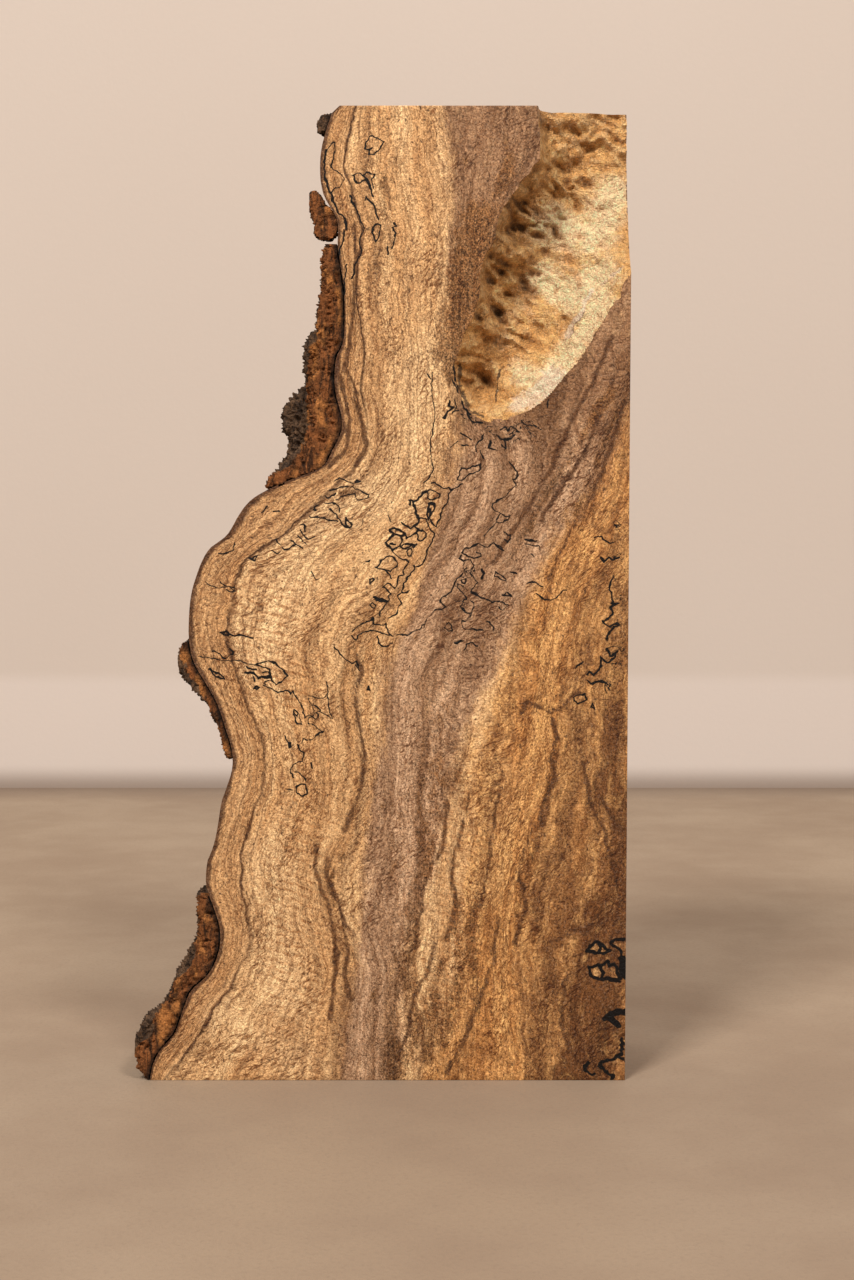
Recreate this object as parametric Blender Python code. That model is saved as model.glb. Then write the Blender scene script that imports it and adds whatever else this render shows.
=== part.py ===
"""A sawn block of spalted maple burl: one natural live edge with bark plates still on it, and a natural hollow
in its upper front corner. The front face looks along -Y, +Z is up, and the origin is the middle of the base."""

import math

import bmesh
import bpy
from mathutils import Vector, noise

MM = 0.001  # every size below is in millimetres

# The sawn block. Its left side is the live edge, and the other five faces are sawn flat.
HEIGHT = 300.0
THICKNESS = 50.0
RIGHT_SIDE = 76.6
FRONT = -THICKNESS / 2

# The live edge where it meets the front face, from the top down, as (across, up)
LIVE_EDGE = [
    (-11.5, 300.0), (-14.0, 298.0), (-16.0, 291.5), (-17.5, 286.0), (-17.5, 277.0), (-16.0, 272.0),
    (-12.2, 265.5), (-12.5, 258.0), (-10.5, 245.0), (-10.5, 232.5), (-11.0, 228.0), (-13.0, 225.0),
    (-13.5, 215.5), (-11.8, 208.5), (-11.2, 202.5), (-14.5, 196.0), (-16.0, 192.5), (-20.0, 190.0),
    (-27.0, 187.5), (-34.0, 184.5), (-39.0, 181.5), (-42.5, 177.5), (-46.5, 170.5), (-52.0, 166.5),
    (-55.0, 161.0), (-57.5, 153.5), (-58.5, 145.0), (-58.5, 137.5), (-57.0, 131.0), (-53.5, 125.0),
    (-50.0, 118.5), (-47.5, 111.0), (-45.2, 102.0), (-46.5, 94.5), (-49.0, 88.0), (-50.0, 81.0),
    (-51.5, 74.0), (-53.5, 69.5), (-54.0, 62.0), (-52.0, 56.0), (-49.5, 47.5), (-50.5, 39.5),
    (-54.0, 33.0), (-59.0, 28.5), (-62.0, 21.0), (-64.0, 15.0), (-69.0, 9.5), (-71.2, 4.5), (-72.0, 0.0),
]
EDGE_STEP = 2.8  # between stations along the live edge
DEPTH_ROWS = 15

# Behind the front face the live edge draws in, most at the bulge: (height, reach, how far in at the back)
DRAW_IN = 2.0
DRAW_IN_LUMPS = [(146.0, 34.0, 12.0), (6.0, 30.0, 9.0), (285.0, 26.0, 5.0)]
DRAW_IN_CURVE = 1.6  # 1 would be a straight slope from the front to the back
SWELL = 2.2  # the low swells of the burl under its bark
SWELL_LENGTH = 24.0
SWELL_FULL = 0.4  # the share of the thickness where they reach their full height
STRAIGHT_END = 7.0  # over this height the swells fade out at the sawn top and base

# The hollow: its rim on the front face, down its steep left wall to the tip, then up its gentle slope
STEEP_RIM = [
    (47.5, 306.0), (48.7, 298.0), (48.9, 284.0), (45.8, 280.2), (42.8, 276.7), (40.4, 273.1), (37.7, 269.5),
    (35.9, 265.3), (35.3, 260.0), (32.0, 254.5), (30.8, 249.4), (30.5, 243.4), (29.0, 237.4), (25.9, 231.4),
    (24.4, 226.9), (23.2, 222.3), (23.8, 216.3), (25.7, 211.1), (28.4, 207.5), (32.1, 205.4), (36.0, 204.5),
]
GENTLE_RIM = [
    (36.0, 204.5), (40.0, 206.3), (46.1, 208.7), (50.6, 211.7), (55.2, 217.2), (60.6, 223.2), (64.8, 229.9),
    (68.7, 236.5), (71.7, 241.6), (73.4, 242.6), (74.0, 246.0), (76.2, 249.6), (84.0, 256.0),
]
HOLLOW_DEPTH = 24.0
SLOPE_DEPTH, SLOPE_RUN = 25.5, 19.0  # the gentle slope would reach this depth, two thirds of it within its run
LEDGE_DEPTH, FLOOR_RUN = 12.5, 14.0  # the steep wall drops this far first, then falls on to the full depth
WALL_RUN_HIGH, WALL_RUN_LOW = 0.8, 4.0  # how far in the steep wall drops, above and below the shoulder
SHOULDER_HEIGHT, SHOULDER_BLEND = 284.0, 4.0
CREASE = 2.0  # how softly the wall meets the slope
RIPPLE_LENGTH, RIPPLE_HEIGHT = 4.0, 0.6  # the fine ridges across the hollow above the shoulder
RIPPLE_LEAN, RIPPLE_SWAY, SWAY_LENGTH = 0.12, 2.0, 16.0
LUMP_LENGTH, LUMP_HEIGHT = 9.0, 1.8
SMALL_LUMPS, SMALL_SHARE = 2.1, 0.6  # a second set, this many times as close together and this much as high
RIM_FADE = 4.0  # over this distance from the rim the lumps fade out
RIM_DEPTH = 0.25  # the least depth inside the rim
# The larger knobs, pits and ridges of the floor, each a stroke: (its line, half its width, how far out it stands)
FLOOR_STROKES = [
    ([(37.0, 257.5), (45.0, 256.5)], 6.0, 4.2),
    ([(32.5, 247.5), (34.0, 246.0)], 3.6, -1.8),
    ([(37.5, 245.5), (44.5, 243.0)], 4.6, -2.2),
    ([(33.0, 240.0), (33.8, 237.5)], 3.4, -1.8),
    ([(50.0, 234.2), (56.5, 233.2)], 4.6, -2.4),
    ([(51.5, 283.0), (60.5, 283.4)], 3.6, -2.0),
    ([(56.0, 274.4), (60.0, 272.4)], 4.4, -2.0),
    ([(65.0, 288.6), (69.5, 288.2)], 3.8, -1.8),
    ([(41.5, 264.5), (44.5, 271.5)], 5.0, -1.6),
    ([(65.4, 244.5), (58.2, 230.6)], 3.0, 1.5),
    ([(30.6, 219.5), (30.2, 211.5)], 5.0, -2.8),
    ([(36.6, 222.5), (36.2, 208.5)], 2.6, 1.4),
    ([(43.0, 215.5), (49.5, 217.5)], 5.5, 1.0),
    ([(54.0, 262.0), (64.0, 258.0)], 7.0, 1.4),
]
CUTTER_STEP = 1.6
CUTTER_MARGIN = 3.5

# Bark plates on the live edge. `top` and `foot` are the heights that a plate covers, `start` and `reach` the shares
# of the block's thickness that it begins and ends at, and `outer` its outer line on the front face. Where it is
# thicker further back, `behind` is its outer line there, and `thickest` the share of the thickness where that lies
# and half the share that it fills.
BARK_GAP = 0.4
BARK_ROW = 2.8
BARK = {
    "bark_upper": {
        "top": 259.0, "foot": 183.5, "start": 0.0, "reach": 0.88,
        "outer": [
            (-15.3, 258.8), (-16.5, 254.5), (-16.0, 249.5), (-17.0, 243.0), (-18.0, 236.5), (-18.0, 223.5),
            (-19.5, 218.5), (-20.5, 211.5), (-20.5, 204.0), (-23.5, 197.5), (-29.0, 191.5), (-33.0, 187.6),
            (-36.2, 184.9),
        ],
        "behind": [
            (-15.6, 258.8), (-16.9, 252.0), (-18.4, 244.0), (-19.4, 236.0), (-20.0, 232.5), (-23.4, 230.6),
            (-24.0, 223.0), (-24.2, 216.0), (-26.8, 213.4), (-29.4, 209.6), (-30.2, 205.5), (-29.2, 201.0),
            (-28.4, 196.5), (-31.3, 191.0), (-36.4, 185.2),
        ],
        "thickest": (0.52, 0.44),
    },
    "bark_middle": {
        "top": 138.0, "foot": 100.0, "start": 0.0, "reach": 0.62,
        "outer": [
            (-60.2, 137.4), (-61.8, 133.5), (-61.6, 129.0), (-58.0, 123.5), (-53.2, 118.5), (-51.0, 113.5),
            (-48.8, 108.5), (-47.2, 101.5),
        ],
    },
    "bark_lower": {
        "top": 59.5, "foot": 0.0, "start": 0.0, "reach": 0.8,
        "outer": [
            (-56.0, 58.8), (-56.2, 53.5), (-55.5, 49.0), (-56.2, 44.5), (-58.8, 40.0), (-62.0, 34.5),
            (-65.5, 26.5), (-69.0, 20.5), (-73.5, 17.2), (-76.2, 13.0), (-76.6, 8.0), (-75.2, 3.4), (-73.6, 0.8),
        ],
    },
    "bark_top": {
        "top": 299.0, "foot": 291.0, "start": 0.16, "reach": 0.6,
        "outer": [(-17.4, 297.8), (-18.6, 296.0), (-18.2, 292.8)],
    },
}
BARK_LEAST = 1.1  # no plate is thinner than this
BACK_TAPER = 0.55  # how much thinner a plate gets towards its back end
FURROW_DEPTH = 1.6  # bark furrows run up and down, so they are long that way and close together across
FURROW_LENGTH, FURROW_SPACING = 13.0, 7.0
RAGGED, RAGGED_LENGTH = 0.3, 9.0  # how unevenly a plate's back end is broken, as a share of its reach
FARTHEST_BACK = 0.96

# The loose flake that has sprung off the edge, as (across, up), and its width into the block's thickness
FLAKE = [
    (-12.75, 264.6), (-14.7, 266.6), (-17.2, 270.6), (-18.2, 273.2), (-19.4, 274.8), (-21.0, 273.4),
    (-20.6, 269.0), (-19.2, 264.8), (-19.0, 261.0), (-15.2, 259.9), (-13.4, 261.8),
]
FLAKE_FRONT, FLAKE_BACK = FRONT + 0.3, FRONT + 10.5
FLAKE_EDGE = 0.5
FLAKE_SEAT = -14.0  # right of this the flake keeps its outline, where it lies against the wood


def clear_scene():
    for obj in list(bpy.data.objects):
        bpy.data.objects.remove(obj, do_unlink=True)


def finish_material(name, colour, roughness):
    material = bpy.data.materials.new(name)
    material.use_nodes = True
    shader = material.node_tree.nodes["Principled BSDF"]
    shader.inputs["Base Color"].default_value = (*colour, 1.0)
    shader.inputs["Roughness"].default_value = roughness
    shader.inputs["Metallic"].default_value = 0.0
    return material


def bell(value):
    """1 at 0, falling smoothly to 0 at 1 either way."""
    value = min(1.0, abs(value))
    return (1.0 - value * value) ** 2


def plateau(value):
    """1 within about half way of 0, falling to 0 at 1 either way."""
    edge = max(0.0, min(1.0, 2.2 * (1.0 - abs(value))))
    return edge * edge * (3.0 - 2.0 * edge)


def waves(across, along, seed):
    """Smooth unevenness, from about -1 to 1."""
    return noise.noise(Vector((across, along, seed)))


def spline(points, pieces=8):
    """A close line of points on a smooth curve through `points`."""
    ends = [points[0]] + list(points) + [points[-1]]
    line = []
    for a, b, c, d in zip(ends, ends[1:], ends[2:], ends[3:]):
        for k in range(pieces):
            t = k / pieces
            line.append(
                tuple(
                    0.5 * (2 * q + (r - p) * t + (2 * p - 5 * q + 4 * r - s) * t**2 + (3 * q - p - 3 * r + s) * t**3)
                    for p, q, r, s in zip(a, b, c, d)
                )
            )
    return line + [tuple(points[-1])]


def evenly(line, count):
    """`count` points at equal distances along `line`, both ends included."""
    lengths = [0.0]
    for a, b in zip(line, line[1:]):
        lengths.append(lengths[-1] + math.dist(a, b))
    made, at = [], 0
    for k in range(count):
        target = lengths[-1] * k / (count - 1)
        while at < len(line) - 2 and lengths[at + 1] < target:
            at += 1
        share = (target - lengths[at]) / (lengths[at + 1] - lengths[at])
        made.append(tuple(p + (q - p) * share for p, q in zip(line[at], line[at + 1])))
    return made


def outward_of(line):
    """The direction away from the wood at each point of a line that runs down the left side."""
    made = []
    for k in range(len(line)):
        before, after = line[max(0, k - 1)], line[min(len(line) - 1, k + 1)]
        made.append(Vector((after[1] - before[1], before[0] - after[0])).normalized())
    return made


EDGE_LENGTH = sum(math.dist(a, b) for a, b in zip(LIVE_EDGE, LIVE_EDGE[1:]))
STATIONS = evenly(spline(LIVE_EDGE), round(EDGE_LENGTH / EDGE_STEP) + 1)
OUTWARD = outward_of(STATIONS)


def edge_at(station, back):
    """The live edge at one station, with `back` from 0 at the front face to 1 at the back, as (across, up)."""
    across, up = STATIONS[station]
    inside = DRAW_IN + sum(far * bell((up - height) / reach) for height, reach, far in DRAW_IN_LUMPS)
    swell = SWELL * min(1.0, back / SWELL_FULL)
    swell *= waves(station * EDGE_STEP / SWELL_LENGTH, back * THICKNESS / SWELL_LENGTH, 3.7)
    upright = min(1.0, up / STRAIGHT_END, (HEIGHT - up) / STRAIGHT_END)
    return (
        across + inside * back**DRAW_IN_CURVE + OUTWARD[station].x * swell,
        up + OUTWARD[station].y * swell * upright,
    )


def ring(points, depth):
    """A section's (across, up) points as places in the block."""
    return [Vector((across, depth, up)) for across, up in points]


def loft(name, sections, material):
    """A closed body through rings of points, from the front to the back, with both ends filled."""
    bm = bmesh.new()
    loops = []
    for section in sections:
        verts = [bm.verts.new(point * MM) for point in section]
        loops.append([bm.edges.new(pair) for pair in zip(verts, verts[1:] + verts[:1])])
    for near, far in zip(loops, loops[1:]):
        bmesh.ops.bridge_loops(bm, edges=near + far)
    for end in (loops[0], loops[-1]):
        bmesh.ops.edgeloop_fill(bm, edges=end)
    bmesh.ops.triangulate(bm, faces=bm.faces[:], quad_method="SHORT_EDGE", ngon_method="BEAUTY")
    bmesh.ops.recalc_face_normals(bm, faces=bm.faces[:])
    return finish_object(name, bm, material)


def finish_object(name, bm, material):
    mesh = bpy.data.meshes.new(name)
    bm.to_mesh(mesh)
    bm.free()
    mesh.shade_smooth()
    mesh.set_sharp_from_angle(angle=math.radians(40.0))
    mesh.materials.append(material)
    obj = bpy.data.objects.new(name, mesh)
    bpy.context.scene.collection.objects.link(obj)
    return obj


def distance_to(line, across, up):
    """How far a point of the front face is from a line of (across, up) points."""
    least = math.inf
    for (ax, az), (bx, bz) in zip(line, line[1:]):
        run, rise = bx - ax, bz - az
        share = ((across - ax) * run + (up - az) * rise) / (run * run + rise * rise)
        share = max(0.0, min(1.0, share))
        least = min(least, math.hypot(across - ax - share * run, up - az - share * rise))
    return least


def in_hollow(across, up):
    """Whether a point of the front face lies inside the hollow's rim, which is open at the top and the right."""
    corner = (GENTLE_RIM[-1][0], STEEP_RIM[0][1])
    rim = STEEP_RIM + GENTLE_RIM[1:] + [corner]
    inside = False
    for (ax, az), (bx, bz) in zip(rim, rim[1:] + rim[:1]):
        if (az > up) != (bz > up) and across < ax + (up - az) * (bx - ax) / (bz - az):
            inside = not inside
    return inside


def floor_lumps(across, up):
    """The unevenness of the hollow's floor, positive where it is deeper."""
    lumps = waves(across / LUMP_LENGTH, up / LUMP_LENGTH, 1.3)
    lumps += SMALL_SHARE * waves(SMALL_LUMPS * across / LUMP_LENGTH, SMALL_LUMPS * up / LUMP_LENGTH, 7.9)
    strokes = sum(out * bell(distance_to(line, across, up) / half) for line, half, out in FLOOR_STROKES)
    return LUMP_HEIGHT * lumps - strokes


def ripples(across, up):
    sway = RIPPLE_SWAY * waves(across / SWAY_LENGTH, up / SWAY_LENGTH, 5.1)
    return RIPPLE_HEIGHT * math.sin(2.0 * math.pi * (up - RIPPLE_LEAN * across + sway) / RIPPLE_LENGTH)


def hollow_depth(across, up):
    """How deep the hollow is behind the front face. It is negative, in front of the face, outside its rim."""
    steep, gentle = distance_to(STEEP_RIM, across, up), distance_to(GENTLE_RIM, across, up)
    if not in_hollow(across, up):
        return -min(CUTTER_MARGIN, min(steep, gentle))
    high = 1.0 / (1.0 + math.exp((SHOULDER_HEIGHT - up) / SHOULDER_BLEND))
    run = WALL_RUN_LOW + (WALL_RUN_HIGH - WALL_RUN_LOW) * high
    wall = LEDGE_DEPTH * (1.0 - math.exp(-steep / run))
    wall += (HOLLOW_DEPTH - LEDGE_DEPTH) * (1.0 - math.exp(-steep / FLOOR_RUN))
    slope = SLOPE_DEPTH * (1.0 - math.exp(-gentle / SLOPE_RUN))
    depth = -CREASE * math.log(math.exp(-wall / CREASE) + math.exp(-slope / CREASE))
    fade = min(1.0, min(steep, gentle) / RIM_FADE)
    return max(RIM_DEPTH, depth + fade * (floor_lumps(across, up) + high * ripples(across, up)))


def hollow_cutter():
    """What is missing at the hollow: from in front of the block back to the hollow's uneven floor."""
    left, right = min(x for x, _ in STEEP_RIM) - CUTTER_MARGIN, GENTLE_RIM[-1][0] - 1.0
    foot, top = min(z for _, z in GENTLE_RIM) - CUTTER_MARGIN, STEEP_RIM[0][1] - 1.0
    bm = bmesh.new()
    bmesh.ops.create_grid(
        bm, x_segments=round((right - left) / CUTTER_STEP), y_segments=round((top - foot) / CUTTER_STEP), size=1.0
    )
    for vert in bm.verts:
        across = left + (right - left) * (vert.co.x + 1.0) / 2.0
        up = foot + (top - foot) * (vert.co.y + 1.0) / 2.0
        vert.co = Vector((across, FRONT + hollow_depth(across, up), up)) * MM
    floor = bm.faces[:]
    mouth = bmesh.ops.extrude_face_region(bm, geom=floor, use_keep_orig=True)["geom"]
    for vert in (item for item in mouth if isinstance(item, bmesh.types.BMVert)):
        vert.co.y = (FRONT - 2.0 * CUTTER_MARGIN) * MM
    bmesh.ops.recalc_face_normals(bm, faces=bm.faces[:])
    cutter = finish_object("hollow_cutter", bm, WOOD)
    cutter.hide_render = True
    cutter.display_type = "WIRE"
    return cutter


def burl_block():
    sections = []
    for row in range(DEPTH_ROWS + 1):
        back = row / DEPTH_ROWS
        outline = [edge_at(station, back) for station in range(len(STATIONS))]
        outline += [(RIGHT_SIDE, 0.0), (RIGHT_SIDE, HEIGHT)]
        sections.append(ring(outline, FRONT + back * THICKNESS))
    block = loft("burl_block", sections, WOOD)
    cut = block.modifiers.new("hollow", "BOOLEAN")
    cut.object = hollow_cutter()
    cut.operation = "DIFFERENCE"
    return block


def bark_plate(name, plate):
    """A plate that follows the live edge at BARK_GAP, thick and furrowed outside, ragged at its back end."""
    stations = [k for k, (_, up) in enumerate(STATIONS) if plate["foot"] <= up <= plate["top"]]
    outer = evenly(spline(plate["outer"]), len(stations))
    behind = evenly(spline(plate.get("behind", plate["outer"])), len(stations))
    plate_at, plate_half = plate.get("thickest", (0.5, 0.5))
    rows = max(4, round(THICKNESS * (plate["reach"] - plate["start"]) / BARK_ROW))
    sections = []
    for row in range(rows + 1):
        inside, outside = [], []
        for station, near, far in zip(stations, outer, behind):
            length = station * EDGE_STEP
            ragged = 1.0 + RAGGED * waves(length / RAGGED_LENGTH, 0.5, 11.3)
            end = min(FARTHEST_BACK, plate["reach"] * ragged)
            back = plate["start"] + (end - plate["start"]) * row / rows
            depth = FRONT + back * THICKNESS
            across, up = edge_at(station, back)
            seat = Vector((across, up)) + OUTWARD[station] * BARK_GAP
            front = Vector(edge_at(station, plate["start"])) + OUTWARD[station] * BARK_GAP
            thick = Vector(near) - front
            thick += (Vector(far) - Vector(near)) * plateau((back - plate_at) / plate_half)
            taper = 1.0 - BACK_TAPER * (row / rows) ** 3
            furrow = FURROW_DEPTH * waves(length / FURROW_LENGTH, depth / FURROW_SPACING, 2.1)
            place = seat + thick * taper + OUTWARD[station] * furrow * min(1.0, row / 2.0)
            if (place - seat).dot(OUTWARD[station]) < BARK_LEAST:
                place = seat + OUTWARD[station] * BARK_LEAST
            inside.append(Vector((seat.x, depth, max(0.0, seat.y))))
            outside.append(Vector((place.x, depth, max(0.0, place.y))))
        sections.append(inside + outside[::-1])
    return loft(name, sections, BARK_FINISH)


def bark_flake():
    """The sprung flake: its outline pushed through its width and narrowed a little at both ends."""
    middle = Vector((sum(x for x, _ in FLAKE), sum(z for _, z in FLAKE))) / len(FLAKE)
    sections = []
    for depth, share in (
        (FLAKE_FRONT, 0.95),
        (FLAKE_FRONT + FLAKE_EDGE, 1.0),
        ((FLAKE_FRONT + FLAKE_BACK) / 2, 1.0),
        (FLAKE_BACK - 3 * FLAKE_EDGE, 0.9),
        (FLAKE_BACK, 0.6),
    ):
        outline = []
        for x, z in FLAKE:
            point = middle + (Vector((x, z)) - middle) * share
            seated = x > FLAKE_SEAT and share > 0.85
            outline.append((x, z) if seated else tuple(point))
        sections.append(ring(outline, depth))
    return loft("bark_flake", sections, BARK_FINISH)


clear_scene()
WOOD = finish_material("spalted_maple", (0.56, 0.36, 0.19), 0.6)
BARK_FINISH = finish_material("maple_bark", (0.11, 0.065, 0.038), 0.9)
burl_block()
for plate_name, plate_shape in BARK.items():
    bark_plate(plate_name, plate_shape)
bark_flake()
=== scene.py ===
import math

import bmesh
import bpy
import numpy as np
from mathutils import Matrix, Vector, noise
from mathutils.bvhtree import BVHTree


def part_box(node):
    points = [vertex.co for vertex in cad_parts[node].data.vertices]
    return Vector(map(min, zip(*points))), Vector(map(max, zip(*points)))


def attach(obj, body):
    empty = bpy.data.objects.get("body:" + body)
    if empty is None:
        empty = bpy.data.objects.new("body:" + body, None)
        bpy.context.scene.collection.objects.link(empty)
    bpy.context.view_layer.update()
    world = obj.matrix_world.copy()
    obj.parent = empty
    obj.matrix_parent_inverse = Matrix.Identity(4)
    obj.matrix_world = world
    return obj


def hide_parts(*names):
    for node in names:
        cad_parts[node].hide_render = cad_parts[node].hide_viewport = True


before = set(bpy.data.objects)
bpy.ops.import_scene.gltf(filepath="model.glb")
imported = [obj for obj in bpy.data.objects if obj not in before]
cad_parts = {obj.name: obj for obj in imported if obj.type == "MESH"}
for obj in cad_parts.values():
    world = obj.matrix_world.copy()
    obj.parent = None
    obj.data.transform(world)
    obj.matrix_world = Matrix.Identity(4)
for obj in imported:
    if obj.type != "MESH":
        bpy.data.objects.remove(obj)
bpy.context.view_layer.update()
mm = 0.001  # the numbers below are in millimetres, as (across, up) on the front face unless said
print("frame loaded")


# node helpers: a Value is a node's output to reckon with, and each operation on it adds a node to its tree

def colour(red, green, blue):  # a screen colour of 0 to 255, as Blender's linear one
    linear = [v / 3295 if v <= 10 else ((v / 255 + 0.055) / 1.055) ** 2.4 for v in (red, green, blue)]
    return (*linear, 1.0)


def addNode(tree, kind, sockets=None, **settings):
    node = tree.nodes.new(kind)
    for name, value in settings.items():
        setattr(node, name, value)
    for key, value in (sockets or {}).items():
        if isinstance(value, Value):
            tree.links.new(value.output, node.inputs[key])
        else:
            node.inputs[key].default_value = value
    return node


class Value:
    def __init__(self, tree, output):
        self.tree, self.output = tree, output

    def node(self, kind, sockets, result=0, **settings):
        return Value(self.tree, addNode(self.tree, kind, sockets, **settings).outputs[result])

    def calc(self, operation, second=0.0, third=0.0):
        return self.node("ShaderNodeMath", {0: self, 1: second, 2: third}, operation=operation)

    def __add__(self, other):
        return self.calc("ADD", other)

    def __sub__(self, other):
        return self.calc("SUBTRACT", other)

    def __mul__(self, other):
        return self.calc("MULTIPLY", other)

    def __truediv__(self, other):
        return self.calc("DIVIDE", other)

    def timesPlus(self, factor, added):
        return self.calc("MULTIPLY_ADD", factor, added)

    def fade(self, low, high, start=0.0, end=1.0):  # a smooth step from start to end
        sockets = {"Value": self, "From Min": low, "From Max": high, "To Min": start, "To Max": end}
        return self.node("ShaderNodeMapRange", sockets, interpolation_type="SMOOTHSTEP")

    def blend(self, amount, first, second, mode="MIX"):  # a tone can also be a screen colour
        first, second = (colour(*tone) if isinstance(tone, tuple) else tone for tone in (first, second))
        return self.node("ShaderNodeMix", {0: amount, 6: first, 7: second}, 2, data_type="RGBA", blend_type=mode)

    def mix(self, amount, over, mode="MIX"):  # this tone with another over it
        return self.blend(amount, self, over, mode)

    def between(self, first, second):  # from one tone to another
        return self.blend(self, first, second)

    def part(self, axis):
        return self.node("ShaderNodeSeparateXYZ", {0: self}, axis)

    def vector(self, operation, sockets):
        return self.node("ShaderNodeVectorMath", {0: self, **sockets}, operation=operation)

    def cloud(self, sizes, detail=2.0, rough=0.5, warp=0.0):  # noise of 0 to 1 at a place, by its sizes in mm
        place = self.vector("MULTIPLY", {1: [1 / s for s in sizes]})
        sockets = {"Vector": place, "Scale": 1.0, "Detail": detail, "Roughness": rough, "Distortion": warp}
        return self.node("ShaderNodeTexNoise", sockets, "Fac")

    def drift(self, *look):  # the same noise about zero
        return self.cloud(*look) - 0.5

    def speckled(self, place, fine, coarse, level=1.0):  # a tone with lighter and darker specks of two sizes
        small, large = place.drift((0.42, 0.42, 0.45), 2, 0.6), place.drift((1.2, 1.2, 1.5), 2, 0.6)
        light = small.timesPlus(fine, large.timesPlus(coarse, level)).calc("MAXIMUM", 0.25)
        return self.vector("SCALE", {"Scale": light}).vector("MINIMUM", {1: (0.92, 0.92, 0.92)})


def joined(x, y, z):
    return x.node("ShaderNodeCombineXYZ", {0: x, 1: y, 2: z})


def stored(tree, name):  # a value kept on the mesh's points
    return Value(tree, addNode(tree, "ShaderNodeAttribute", attribute_name=name).outputs["Fac"])


def newMaterial(name):  # with its tree, its shader and the place in mm
    material = bpy.data.materials.new(name)
    material.use_nodes = True
    tree = material.node_tree
    place = Value(tree, addNode(tree, "ShaderNodeTexCoord").outputs["Object"]).vector("SCALE", {"Scale": 1000.0})
    return material, tree, tree.nodes["Principled BSDF"], place


def finishMaterial(shader, tone, roughness, height, distance, strength=1.0):
    bump = height.node("ShaderNodeBump", {"Height": height, "Distance": distance, "Strength": strength})
    for name, value in (("Base Color", tone), ("Roughness", roughness), ("Normal", bump)):
        value.tree.links.new(value.output, shader.inputs[name])


def newGroup(name, given, made):  # with its inputs by name
    tree = bpy.data.node_groups.new(name, "ShaderNodeTree")
    for label in given:
        kind = "NodeSocketVector" if label == "Place" else "NodeSocketFloat"
        tree.interface.new_socket(label, in_out="INPUT", socket_type=kind)
    for label in made:
        tree.interface.new_socket(label, in_out="OUTPUT", socket_type="NodeSocketFloat")
    return tree, {output.name: Value(tree, output) for output in tree.nodes.new("NodeGroupInput").outputs}


# the grain: rings that run with the live edge, streaks along them and the short flecks of the sawn surface

def makeGrain():
    tree, given = newGroup("burlGrain", ("Place", "Ring", "Along", "Waver", "Spacing"),
                           ("Ring", "Broad", "Fine", "Hair", "Line", "Fleck"))
    place = given["Place"]
    sway, shake = place.drift((11, 11, 14), 3), place.drift((2.4, 2.4, 3.0), 2)
    ring = sway.timesPlus(6.0, shake * 2.0).timesPlus(given["Waver"], given["Ring"])
    grain = joined(ring, given["Along"], place.part("Y"))
    saw = (ring / given["Spacing"] + grain.cloud((16, 150, 80), 2) * 1.6).calc("FRACT")
    line = saw.fade(0.72, 0.94) * saw.fade(0.94, 1.0, 1.0, 0.0)
    kept = grain.cloud((5, 40, 40), 2).fade(0.4, 0.58)
    fleck = grain.cloud((0.7, 1.5, 1.0), 2, 0.6, 0.9) * 0.5 + grain.cloud((0.4, 0.75, 0.5), 1, 0.5, 0.3) * 0.5
    addNode(tree, "NodeGroupOutput", {
        "Ring": ring, "Broad": grain.cloud((5.5, 110, 60), 3, 0.55), "Fine": grain.cloud((0.9, 14, 12), 3, 0.65),
        "Hair": grain.cloud((0.32, 5, 8), 2, 0.6), "Line": line * kept, "Fleck": fleck.fade(0.46, 0.66),
    })
    return tree


# spalting: thin black zone lines that wander and close on themselves wherever the mask lets them

def makeSpalt():
    tree, given = newGroup("spaltLines", ("Place", "Mask", "Size"), ("Line",))
    size = given["Size"]
    share = size.node("ShaderNodeMath", {0: 1.0, 1: size}, operation="DIVIDE")
    place = given["Place"].vector("SCALE", {"Scale": share})
    near = place.drift((1, 1, 1), 3, 0.58, 0.4).calc("ABSOLUTE")
    gate = given["Mask"] + place.drift((2.2, 2.2, 2.2), 2)
    addNode(tree, "NodeGroupOutput", {"Line": near.fade(0.006, 0.022, 1.0, 0.0) * gate.fade(0.5, 0.58)})
    return tree


grainGroup, spaltGroup = makeGrain(), makeSpalt()


def grainAt(tree, place, waver, spacing):
    sockets = {"Place": place, "Ring": stored(tree, "ring"), "Along": stored(tree, "along"), "Waver": waver,
               "Spacing": spacing}
    node = addNode(tree, "ShaderNodeGroup", sockets, node_tree=grainGroup)
    return {output.name: Value(tree, output) for output in node.outputs}


# the wood's map, drawn as lines: each is its first point and then the steps from point to point

def path(steps, parts):  # in parts of a millimetre
    places = np.cumsum(np.reshape(steps, (-1, 2)), axis=0).tolist()
    return [(x / parts, z / parts) for x, z in places]


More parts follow.
